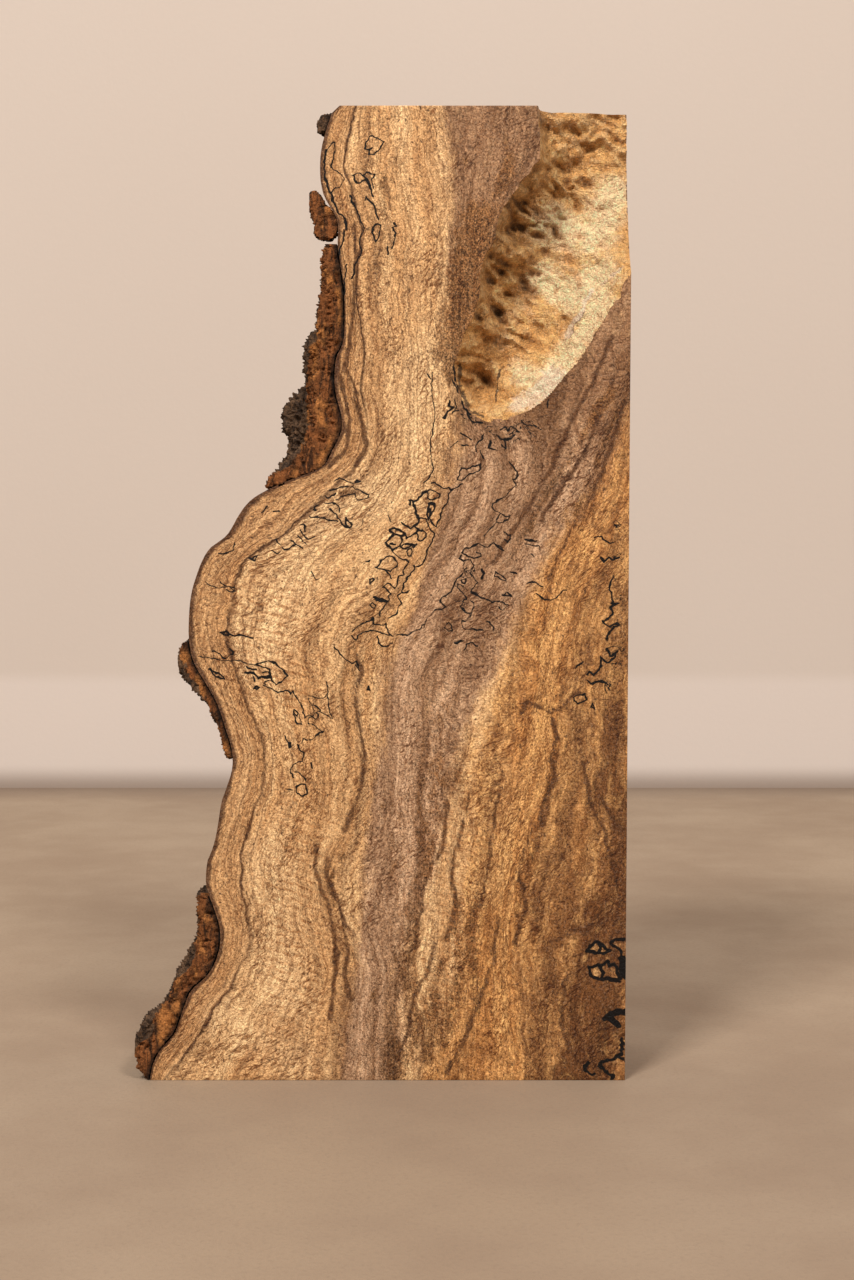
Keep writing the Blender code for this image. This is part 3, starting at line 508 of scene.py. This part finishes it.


# the natural hollow: golden and cream, ridged and pitted, with painted shade in its low places and a painted highlight
# on its ridges

def makeHollow():
    material, tree, shader, place = newMaterial("hollowWood")
    grain = grainAt(tree, place, 1.6, 2.2)
    patch, small = place.drift((7, 7, 7), 4, 0.65, 0.5), place.drift((2.6, 2.6, 2.0), 4, 0.7, 0.6)
    grit = place.drift((0.8, 0.8, 0.6), 3, 0.65, 0.4)
    pitShadeRidgeLight, white, crack = (small.timesPlus(n, stored(tree, name)) for name, n in
                         (("pitShadeRidgeLight", 1.2), ("white", 1.2), ("crack", 1.4)))
    cream, shade = (stored(tree, name) + small.timesPlus(n, patch) for name, n in (("cream", 1.2), ("shade", 1.4)))
    tone = patch.fade(-0.15, 0.15).between((226, 172, 106), (190, 134, 72))
    steps = (  # value, where it starts and is full, how much, tone
        (cream, 0.25, 1.0, 0.85, (255, 214, 166)), (patch, 0.06, 0.22, 0.6, (170, 116, 58)),
        # painted shade in the low places and a painted highlight on the ridges, from the relief; and painted shade in
        # the bays and on the upper left wall
        (shade, 0.3, 1.0, 0.5, (146, 101, 52)), (pitShadeRidgeLight, 0.3, 1.2, 0.7, (148, 100, 50)),
        (pitShadeRidgeLight, 1.2, 2.0, 0.7, (76, 52, 28)), (pitShadeRidgeLight, 0.02, -0.2, 0.22, (246, 212, 158)),
        (grain["Line"], 0.1, 0.8, 0.2, (118, 80, 42)), (crack, 0.35, 0.6, 0.85, (48, 32, 18)),
        (grit, 0.04, 0.24, 0.45, (150, 104, 58)), (grit, -0.05, -0.2, 0.3, (248, 220, 174)),
        (white, 0.3, 0.7, 0.85, (238, 204, 172)),
    )
    for value, low, high, most, over in steps:
        tone = tone.mix(value.fade(low, high, 0.0, most), over)
    tone = tone.speckled(place, 2.1, 1.4, 1.14)
    height = small.timesPlus(-2.4, grit * -1.0) + grain["Fine"] * -0.5
    finishMaterial(shader, tone, grit.fade(-0.2, 0.2, 0.42, 0.65), height, 0.0012)
    return material


# the block: a fine grid on the sawn planes and the live edge, with the hollow taken out of its upper corner

block = {
    "front": -25.0, "thick": 50.0, "right": 76.6, "tall": 300.0,
    "across": 68, "deep": 22, "up": 174,  # cuts along each side
    "arris": 0.25,  # the worn edge between two sawn faces
    "edgeRough": 0.22, "edgeRoughSize": 3.2,
    "furrow": 0.45, "furrowSize": 2.4,
    "skinBack": 12,  # how far in from the live edge the worn corners still belong to the skin
}

hollow = {
    "steepRim": path([475,3060, 12,-80, 2,-140, -31,-38, -30,-35, -24,-36, -27,-36, -18,-42, -6,-53, -33,-55, -12,-51,
    -3,-60, -15,-60, -31,-60, -15,-45, -12,-46, 6,-60, 19,-52, 27,-36, 37,-21, 39,-9], 10),
    "gentleRim": path([360,2045, 40,18, 61,24, 45,30, 46,55, 54,60, 42,67, 39,66, 30,51, 17,10, 6,34, 22,36, 78,64],
    10),
    "depth": 24.0, "ledge": 12.5, "floorRun": 14.0, "slopeDepth": 25.5, "slopeRun": 19.0,
    "knobs": [  # (line, half width, how far out)
        ([(37,257.5), (45,256.5)], 6, 4.2), ([(32.5,247.5), (34,246)], 3.6, -1.8),
        ([(37.5,245.5), (44.5,243)], 4.6, -2.2), ([(33,240), (33.8,237.5)], 3.4, -1.8),
        ([(50,234.2), (56.5,233.2)], 4.6, -2.4), ([(51.5,283), (60.5,283.4)], 3.6, -2),
        ([(56,274.4), (60,272.4)], 4.4, -2), ([(65,288.6), (69.5,288.2)], 3.8, -1.8),
        ([(41.5,264.5), (44.5,271.5)], 5, -1.6), ([(65.4,244.5), (58.2,230.6)], 3, 1.5),
        ([(30.6,219.5), (30.2,211.5)], 5, -2.8), ([(36.6,222.5), (36.2,208.5)], 2.6, 1.4),
        ([(43,215.5), (49.5,217.5)], 5.5, 1), ([(54,262), (64,258)], 7, 1.4),
    ],
    "step": 0.56, "margin": 3.5, "ragged": 0.55, "mouth": 7.0,  # the mouth: how far the cutter stands out in front
    "cutter": (19.7, 83.0, 201.0, 305.0),  # its left, right, foot and top
    "cream": [([(52,266), (66,262), (72,275)], 13, 1.0), ([(50,250), (60,243), (68,250)], 12, 1.0),
              ([(44,220), (50,216), (60,228), (68,243)], 9, 1.0), ([(38,230), (44,240)], 8, 0.5)],
    "white": [([(65,245), (61,237), (57.5,231)], 1.5, 0.9), ([(74,252), (68,247)], 1.4, 0.6),
              ([(43,210.5), (48,213), (54,219)], 6.5, 0.75)],
    "crack": [([(36,211), (36.4,217), (37.4,221), (40,223), (41.5,221.4)], 0.8, 0.75),
              ([(52.6,220.5), (54.4,223)], 0.5, 0.6), ([(58.3,231), (61.8,237), (65.4,245)], 0.6, 0.8),
              ([(24.6,222), (24.8,215), (28,208.6), (32,206.6)], 1.0, 0.9)],
}


def inRim(across, up):  # whether each place on the front face is within the hollow's rim
    rim = hollow["steepRim"] + hollow["gentleRim"][1:] + [(84, 306)]
    inside = np.zeros(np.shape(across), bool)
    for (ax, az), (bx, bz) in zip(rim, rim[1:] + rim[:1]):
        if az != bz:
            inside ^= ((az > up) != (bz > up)) & (across < ax + (up - az) * (bx - ax) / (bz - az))
    return inside


def waves(across, up, share, seed):  # the same unevenness as the solid's
    return np.array([noise.noise(Vector((x * share, z * share, seed))) for x, z in zip(across, up)])


def hollowRelief(across, up):  # scalloped ridges and pits, wilder at the steep wall and the top
    steep, gentle = toLine(hollow["steepRim"], across, up), toLine(hollow["gentleRim"], across, up)
    wild = np.clip(1.3 - steep / 26, 0.4, 1.15) * np.clip(0.24 + gentle / 17, 0.24, 1)
    wild = np.maximum(wild, 0.5 * smooth(up, 272, 284)) * (1 - 0.35 * smooth(up, 276, 288))
    bent = up + 0.5 * across + 3.0 * waves(across, up, 1 / 7, 14.1)
    bowls = 4.2 * np.abs(waves(across * 0.62, bent * 1.3, 1 / 4.6, 3.3)) + 1.7 * np.abs(waves(across, up, 1 / 2.4, 6.1))
    crags = 1.9 * waves(across, up, 1 / 3.6, 17.7) + 0.8 * waves(across, up, 1 / 1.2, 9.1)
    return wild * (bowls + crags - 0.95)


def hollowDepth(across, up):  # how deep the hollow is at each place on the front face
    across = across + hollow["ragged"] * waves(across, up, 1 / 2.1, 21.5)  # a chipped rim
    up = up + hollow["ragged"] * waves(across, up, 1 / 2.1, 27.5)
    steep, gentle = toLine(hollow["steepRim"], across, up), toLine(hollow["gentleRim"], across, up)
    nearest = np.minimum(steep, gentle)
    high = 1 / (1 + np.exp((284 - up) / 4))
    wall = hollow["ledge"] * (1 - np.exp(-steep / (4 - 3.2 * high + 6 * (1 - smooth(up, 226, 250)))))
    wall += (hollow["depth"] - hollow["ledge"]) * (1 - np.exp(-steep / hollow["floorRun"]))
    slope = hollow["slopeDepth"] * (1 - np.exp(-gentle / hollow["slopeRun"]))
    depth = -2 * np.log(np.exp(-wall / 2) + np.exp(-slope / 2))
    lumps = 1.8 * (waves(across, up, 1 / 9, 1.3) + 0.6 * waves(across, up, 2.1 / 9, 7.9))
    for points, half, out in hollow["knobs"]:
        lumps -= out * bell(toLine(points, across, up) / half)
    ripples = 0.6 * np.sin(2 * math.pi * (up - 0.12 * across + 4.2 * waves(across, up, 1 / 8, 5.1)) / 4.1)
    small = hollowRelief(across, up)
    fading = np.minimum(1, nearest / 4)
    depth = np.maximum(0.25, depth + fading * (lumps + high * ripples) + np.minimum(1, nearest / 1.5) * small)
    return np.where(inRim(across, up), depth, -np.minimum(hollow["margin"], nearest))


def applied(obj, name):  # the object's mesh with its modifiers applied, as a new object
    evaluated = obj.evaluated_get(bpy.context.evaluated_depsgraph_get())
    mesh = bpy.data.meshes.new_from_object(evaluated)
    made = bpy.data.objects.new(name, mesh)
    bpy.context.scene.collection.objects.link(made)
    bpy.data.objects.remove(obj, do_unlink=True)
    return made


def addObject(name, bm):
    mesh = bpy.data.meshes.new(name)
    bm.to_mesh(mesh)
    bm.free()
    obj = bpy.data.objects.new(name, mesh)
    bpy.context.scene.collection.objects.link(obj)
    return obj


def dress(mesh, maps, materials, sharp):  # keeps the maps on the points; edges past the angle stay sharp
    for name, values in maps.items():
        mesh.attributes.new(name, "FLOAT", "POINT").data.foreach_set("value", np.array(values, np.float32))
    mesh.materials.clear()
    for material in materials:
        mesh.materials.append(material)
    mesh.shade_smooth()
    mesh.set_sharp_from_angle(angle=math.radians(sharp))


def makeCutter():
    left, rightEnd, foot, topEnd = hollow["cutter"]
    bm = bmesh.new()
    bmesh.ops.create_grid(bm, x_segments=round((rightEnd - left) / hollow["step"]),
                          y_segments=round((topEnd - foot) / hollow["step"]), size=1.0)
    places = np.array([v.co for v in bm.verts])
    across = left + (rightEnd - left) * (places[:, 0] + 1) / 2
    up = foot + (topEnd - foot) * (places[:, 1] + 1) / 2
    depth = block["front"] + hollowDepth(across, up)
    for vert, x, y, z in zip(bm.verts, across, depth, up):
        vert.co = Vector((x, y, z)) * mm
    mouth = bmesh.ops.extrude_face_region(bm, geom=bm.faces[:], use_keep_orig=True)["geom"]
    for vert in (item for item in mouth if isinstance(item, bmesh.types.BMVert)):
        vert.co.y = (block["front"] - hollow["mouth"]) * mm
    bmesh.ops.recalc_face_normals(bm, faces=bm.faces[:])
    return addObject("hollowCutter", bm)


def edgeReader():
    # edgeAt reads how far left the solid's live edge is, at any depth and height
    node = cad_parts["burl_block"]
    tree = BVHTree.FromObject(node, bpy.context.evaluated_depsgraph_get())

    def edgeAt(depth, up):
        depth, up = min(24.95, max(-24.95, depth)), min(299.9, max(0.1, up))  # never past the solid's ends
        return tree.ray_cast(Vector((-0.12, depth * mm, up * mm)), Vector((1, 0, 0)))[0].x / mm
    return edgeAt


edgeAt = edgeReader()


def sawnPlanes(place, near):  # how many of the sawn planes a place in mm lies on
    half, middle = block["thick"] / 2, block["tall"] / 2
    return sum([abs(abs(place.y) - half) < near, abs(place.x - block["right"]) < near,
                abs(place.z - middle) > middle - near])


def makeBlock():  # also gives the rows' heights and the live edge along them
    bm = bmesh.new()
    bmesh.ops.create_cube(bm, size=1.0)
    for axis, cuts in enumerate((block["across"], block["deep"], block["up"])):
        edges = [e for e in bm.edges if abs(e.verts[0].co[axis] - e.verts[1].co[axis]) > 0.9]
        bmesh.ops.subdivide_edges(bm, edges=edges, cuts=cuts, use_grid_fill=True)
    # rows are closer together where the live edge runs flat
    rowsUp, rowsDeep, probe = block["up"] + 1, block["deep"] + 1, 0.25
    heights = np.linspace(0, block["tall"], round(block["tall"] / probe) + 1)
    slopes = np.abs(np.diff(alongLine(layers[0], heights))) / probe
    spread = np.concatenate([[0], np.cumsum(probe * (1 + np.minimum(slopes, 3)))])
    rowUp = [float(np.interp(k / rowsUp * spread[-1], spread, heights)) for k in range(rowsUp + 1)]
    rowDeep = [block["front"] + block["thick"] * w / rowsDeep for w in range(rowsDeep + 1)]
    rowEdge = []
    for depth in rowDeep:
        line = np.array([edgeAt(depth, up) for up in rowUp])
        line[1:-1] = 0.25 * line[:-2] + 0.5 * line[1:-1] + 0.25 * line[2:]
        rowEdge.append(line)
    for vert in bm.verts:
        u = vert.co.x + 0.5
        w, k = round((vert.co.y + 0.5) * rowsDeep), round((vert.co.z + 0.5) * rowsUp)
        depth, up, edge = rowDeep[w], rowUp[k], rowEdge[w][k]
        rough = block["edgeRough"] * abs(noise.noise(Vector((edge, depth, up)) / block["edgeRoughSize"]))
        inside = min(1.0, (depth - block["front"]) / 3)
        rough += block["furrow"] * inside * abs(noise.noise(Vector((edge, depth, up / 6)) / block["furrowSize"]))
        across = edge + rough * (1 - u) ** 8 + (block["right"] - edge) * u ** 1.08
        vert.co = Vector((across, depth, up)) * mm
    arrises = []
    for edge in bm.edges:
        middle = (edge.verts[0].co + edge.verts[1].co) / 2 / mm
        if sawnPlanes(middle, 0.01) == 2 and all(sawnPlanes(v.co / mm, 0.01) >= 2 for v in edge.verts):
            arrises.append(edge)
    bmesh.ops.bevel(bm, geom=arrises, offset=block["arris"] * mm, offset_type="OFFSET", segments=2, profile=0.5,
                    affect="EDGES", material=-1, clamp_overlap=True)
    # more points on the front face, where a drawn line runs
    for margin, sets in ((1.3, {**zoneLines, **brownSets}), (0.6, zoneLines), (0.24, zoneLines)):
        bm.normal_update()
        faces = [f for f in bm.faces if f.normal.y < -0.99 and f.calc_center_median().y / mm < block["front"] + 0.01]
        middles = np.array([f.calc_center_median() for f in faces]) / mm
        near = lineGap(sets, *wobble(middles)) < margin
        edges = {edge for face, pick in zip(faces, near) if pick for edge in face.edges}
        bmesh.ops.subdivide_edges(bm, edges=list(edges), cuts=1, use_grid_fill=True)
    body, cutter = addObject("burlGrid", bm), makeCutter()
    cut = body.modifiers.new("hollow", "BOOLEAN")
    cut.object, cut.operation, cut.solver = cutter, "DIFFERENCE", "MANIFOLD"
    made = applied(body, "burl")
    bpy.data.objects.remove(cutter, do_unlink=True)
    return made, rowUp, rowEdge


def finishBlock():
    burl, rowUp, rowEdge = makeBlock()
    mesh = burl.data
    mesh.calc_loop_triangles()
    print("burl:", len(mesh.vertices), "points,", len(mesh.loop_triangles), "triangles")
    places = np.empty(len(mesh.vertices) * 3)
    mesh.vertices.foreach_get("co", places)
    places = places.reshape(-1, 3) / mm
    # how far the live edge has drawn in behind the front, at each point's depth and height
    table = np.array(rowEdge)
    rows = (places[:, 1] - block["front"]) / block["thick"] * (block["deep"] + 1)
    low = np.clip(rows.astype(int), 0, block["deep"])
    near, far, ahead = (np.array([np.interp(z, rowUp, table[w]) for w, z in zip(pick, places[:, 2])])
                        for pick in (low, low + 1, np.zeros(len(low), int)))
    edge = near + (far - near) * (rows - low)
    share = np.clip((places[:, 0] - edge) / (block["right"] - edge), 0, 1)
    made = woodMap(places, (edge - ahead) * (1 - share))
    across, up = places[:, 0], places[:, 2]
    front = places[:, 1] < block["front"] + 0.4
    x, z = wobble(places)
    made["inkGap"] = np.where(front, lineGap(zoneLines, x, z), 4.0)
    made["brownGap"] = np.where(front, lineGap(brownSets, x, z), 4.0)
    made["ink"] *= ~front | (across > 20)
    made["cream"] = painted(hollow["cream"], across, up)
    made["white"], made["crack"] = painted(hollow["white"], x, z), painted(hollow["crack"], x, z)
    # painted shade in the hollow's low places and a painted highlight on its ridges, from its relief, weaker low down
    relief = np.where(front | (up < 200), 0.0, hollowRelief(across, up))
    made["pitShadeRidgeLight"] = relief * (0.45 + 0.55 * smooth(up, 225, 256))
    # painted shade: the bays and the upper left wall are darker
    shaded = [(points, half * 1.3, 0.5) for points, half, out in hollow["knobs"] if out < 0]
    shaded.append((hollow["steepRim"][3:12], 11, 1.0))
    made["shade"] = painted(shaded, across + 2.5 * uneven(places, 4, 2.2), up + 2.5 * uneven(places, 4, 6.2))
    dress(mesh, made, (makeWood(), makeSkin(), makeHollow()), 42)
    for face in mesh.polygons:
        place = face.center / mm
        x, y, z = place
        flat = max(abs(v) for v in face.normal) > 0.9 and sawnPlanes(place, 0.3)
        onEdge = abs(y) > 24.5 or x > 70 or abs(z - 150) > 149.5
        inward = x > np.interp(z, rowUp, table[0]) + block["skinBack"]
        if flat or (onEdge and inward and not inRim(np.array([x]), np.array([z]))[0]):
            face.material_index = 0
        else:
            face.material_index = 2 if x > 20 and z > 203 else 1
    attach(burl, "root")
    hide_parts("burl_block")


finishBlock()
print("burl made")


# bark: each plate is the solid's shape, made finer and broken up

bark = {  # crust: how far out from the wood the black outer bark starts
    "bark_upper": {"voxel": 0.5, "rough": 2.3, "size": 4.2, "crust": 9.8, "reach": 2.0, "closer": 0.5,
                   "cutTo": -14},
    "bark_lower": {"voxel": 0.5, "rough": 2.2, "size": 3.8, "crust": 7.5, "reach": 2.0, "closer": 0.5,
                   "cutTo": -20},
    "bark_middle": {"voxel": 0.4, "rough": 1.2, "size": 3.0, "crust": 3.0, "reach": 2.0, "closer": 0.6,
                   "cutTo": -22},
    "bark_top": {"voxel": 0.35, "rough": 0.9, "size": 2.6, "crust": 0.0, "reach": 1.0, "closer": 0.0,
                   "cutTo": -22},
    "bark_flake": {"voxel": 0.35, "rough": 1.3, "size": 3.4, "crust": 9.0, "reach": 4.5, "closer": 1.0,
                   "cutTo": -22, "touch": 266.5},
}


def makeBarkMaterial():
    material, tree, shader, place = newMaterial("burlBark")
    broad, crumbs = place.cloud((6, 6, 14), 3, 0.6), place.cloud((1.3, 1.3, 1.8), 3, 0.65)
    grit, streak = place.cloud((0.45, 0.45, 0.55), 2), place.cloud((2.0, 2.0, 11), 4, 0.7, 0.8)
    outer = broad.fade(0.35, 0.65).between((58, 44, 34), (100, 76, 56))
    outer = outer.mix(crumbs.fade(0.45, 0.65, 0.0, 0.8), (24, 18, 14))
    inner = broad.fade(0.38, 0.62).between((126, 76, 40), (82, 48, 25))
    inner = inner.mix(streak.fade(0.48, 0.62, 0.0, 0.9), (34, 21, 12))
    inner = inner.mix(broad.fade(0.5, 0.62, 0.0, 0.75), (178, 116, 62))
    inner = inner.mix(crumbs.fade(0.54, 0.68, 0.0, 0.6), (30, 19, 11))
    tone = (stored(tree, "cut") + (crumbs - 0.5)).fade(0.35, 0.65).between(outer, inner)
    tone = tone.mix(grit.fade(0.55, 0.75, 0.0, 0.4), (142, 100, 64)).speckled(place, 2.2, 1.3)
    # painted shade in the bark's low places and in the split beside the wood
    tone = tone.mix(stored(tree, "low") * 0.9, (16, 10, 7))
    finishMaterial(shader, tone, grit.fade(0.3, 0.7, 0.75, 0.95), crumbs.timesPlus(1.0, grit * 0.4), 0.0008)
    shader.inputs["Specular IOR Level"].default_value = 0.15
    return material


barkMaterial = makeBarkMaterial()


def makeBark(name, look):
    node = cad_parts[name]
    bm = bmesh.new()
    bm.from_mesh(node.data)
    bmesh.ops.remove_doubles(bm, verts=bm.verts[:], dist=0.02 * mm)
    plate = addObject("plain_" + name, bm)
    remesh = plate.modifiers.new("finer", "REMESH")
    remesh.mode, remesh.voxel_size = "VOXEL", look["voxel"] * mm
    plate = applied(plate, name + "_rough")
    mesh = plate.data
    least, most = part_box(name)
    cut, deep = [], []
    normals = [vert.normal.copy() for vert in mesh.vertices]
    for vert, normal in zip(mesh.vertices, normals):
        spot = vert.co / mm
        ridge = noise.noise(Vector((spot.x, spot.y, spot.z * 0.6)) / look["size"])
        crumb = noise.noise(spot / (look["size"] * 0.4) + Vector((7, 0, 0)))
        bit = noise.noise(spot / (look["size"] * 0.17) + Vector((0, 5, 0)))
        inward = look["rough"] * (1.3 * abs(ridge) + 1.1 * abs(crumb) + 0.55 * bit - 0.5)
        front = max(0.0, -normal.y) * min(1.0, max(0.0, (spot.y + 21) / -4))
        inward *= 1 - 0.3 * front
        gap = edgeAt(spot.y, spot.z) - spot.x  # to the wood
        if normal.x > 0.1 and gap < look["reach"]:  # its inner side nearly touches the wood
            inward = min(inward, 0.3) * min(1.0, gap)
            closer = look["closer"] * (bell((spot.z - look["touch"]) / 8) if "touch" in look else 1)
            vert.co.x += (gap - 0.1) * closer * mm
        vert.co -= normal * inward * mm
        for axis in range(3):
            vert.co[axis] = min(most[axis] + (0.003 if axis == 0 else 0), max(least[axis], vert.co[axis]))
        crust = smooth(gap + 1.5 * ridge + crumb, look["crust"] - 0.8, look["crust"] + 1.2)
        cut.append(max(front, 1 - smooth(spot.y, look["cutTo"] - 3, look["cutTo"])) * (1 - crust))
        low = min(1.0, max(0.0, (inward - look["rough"] * 0.45) / (look["rough"] * 0.5)))
        deep.append(max(low, 1.25 * bell(gap / 2.2)))  # painted shade: dark in its low places, and in the split beside the wood
    dress(mesh, {"cut": cut, "low": deep}, [barkMaterial], 60)
    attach(plate, "root")
    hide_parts(name)
    print(name, len(mesh.polygons), "faces")


for name, look in bark.items():
    makeBark(name, look)
print("bark made")


# the room: a pale floor, a pale wall with its skirting, and two soft lights

room = {"wall": 0.57, "skirting": 62.0, "wide": 3.0, "near": -1.6}


def makeFloor():
    material, _, shader, place = newMaterial("paleFloor")
    broad, grit, back = place.cloud((95, 95, 95), 4, 0.6), place.cloud((1.6, 1.6, 1.6), 3, 0.6), place.part("Y")
    tone = broad.fade(0.3, 0.7).between((160, 140, 118), (146, 125, 104))
    # painted shade: the floor is darker toward the front, where the lamps light it most
    tone = tone.mix(grit.fade(0.45, 0.8) * 0.3, (120, 104, 88)).mix(back.fade(260, -160, 0.0, 0.3), (112, 93, 77))
    tone = tone.mix(back.fade(520, 568, 0.0, 0.6), (120, 102, 88))  # painted shade in the corner where the floor meets the wall
    finishMaterial(shader, tone, broad.fade(0.3, 0.7, 0.6, 0.8), grit, 0.0004, 0.5)
    return material


def makeWall():
    material, tree, shader, place = newMaterial("paleWall")
    up, fine, top = place.part("Z"), place.cloud((2.5, 2.5, 2.5), 2), room["skirting"]
    tone = place.cloud((420, 420, 420), 2).fade(0.3, 0.7).between((206, 193, 182), (202, 188, 176))
    # the skirting a little lighter, and painted shade toward the wall's foot, in the corner with the floor
    tone = tone.mix(up.fade(top - 5, top + 5, 1.0, 0.0), (211, 198, 188)).mix(up.fade(0, 14, 0.75, 0.0), (130, 110, 94))
    finishMaterial(shader, tone, fine.fade(0.3, 0.7, 0.8, 0.9), fine, 0.0002, 0.3)
    # clear from behind, so that it never stands between another view and the block
    clear = addNode(tree, "ShaderNodeBsdfTransparent").outputs[0]
    behind = addNode(tree, "ShaderNodeNewGeometry").outputs["Backfacing"]
    sides = {0: Value(tree, behind), 1: Value(tree, shader.outputs[0]), 2: Value(tree, clear)}
    shown = addNode(tree, "ShaderNodeMixShader", sides).outputs[0]
    tree.links.new(shown, tree.nodes["Material Output"].inputs["Surface"])
    return material


def addPlane(name, corners, material):
    bm = bmesh.new()
    bmesh.ops.create_grid(bm, x_segments=1, y_segments=1, size=0.5)
    (left, near, low), (rightEnd, far, high) = corners
    for vert in bm.verts:
        u, v = vert.co.x + 0.5, vert.co.y + 0.5
        vert.co = (left + (rightEnd - left) * u, near + (far - near) * v, low + (high - low) * v)
    obj = addObject(name, bm)
    obj.data.materials.append(material)


wide, wall = room["wide"], room["wall"]
addPlane("floor", ((-wide, room["near"], 0), (wide, wall, 0)), makeFloor())
addPlane("wall", ((-wide, wall, 0), (wide, wall + 0.0001, 2.6)), makeWall())

lamps = {"far": 2.5, "size": 0.5, "tone": (1.0, 0.95, 0.9)}
for name, toward, power in (("leftLamp", (-0.30, -0.62, 0.80), 54.0), ("rightLamp", (0.34, -0.62, 0.78), 31.0)):
    light = bpy.data.lights.new(name, "AREA")
    light.energy, light.size, light.color = power, lamps["size"], lamps["tone"]
    lamp = bpy.data.objects.new(name, light)
    toward = Vector(toward).normalized()
    lamp.location = Vector((0, 0, 0.15)) + toward * lamps["far"]
    lamp.rotation_euler = toward.to_track_quat("Z", "Y").to_euler()
    bpy.context.scene.collection.objects.link(lamp)

world = bpy.data.worlds.new("softRoom")
world.use_nodes = True
glow = world.node_tree.nodes["Background"].inputs
glow["Color"].default_value, glow["Strength"].default_value = (1.0, 0.96, 0.93, 1.0), 0.4
bpy.context.scene.world = world
bpy.context.scene.view_settings.view_transform = "Standard"

camera = bpy.data.cameras.new("camera")
camera.lens, camera.sensor_fit, camera.sensor_height = 67.5, "VERTICAL", 36.0
cameraObject = bpy.data.objects.new("camera", camera)
cameraObject.location = (0.0147, -0.7596, 0.2065)
cameraObject.rotation_euler = (math.radians(90 - 5.303), 0, 0)
bpy.context.scene.collection.objects.link(cameraObject)
bpy.context.scene.camera = cameraObject
print("room and camera made")
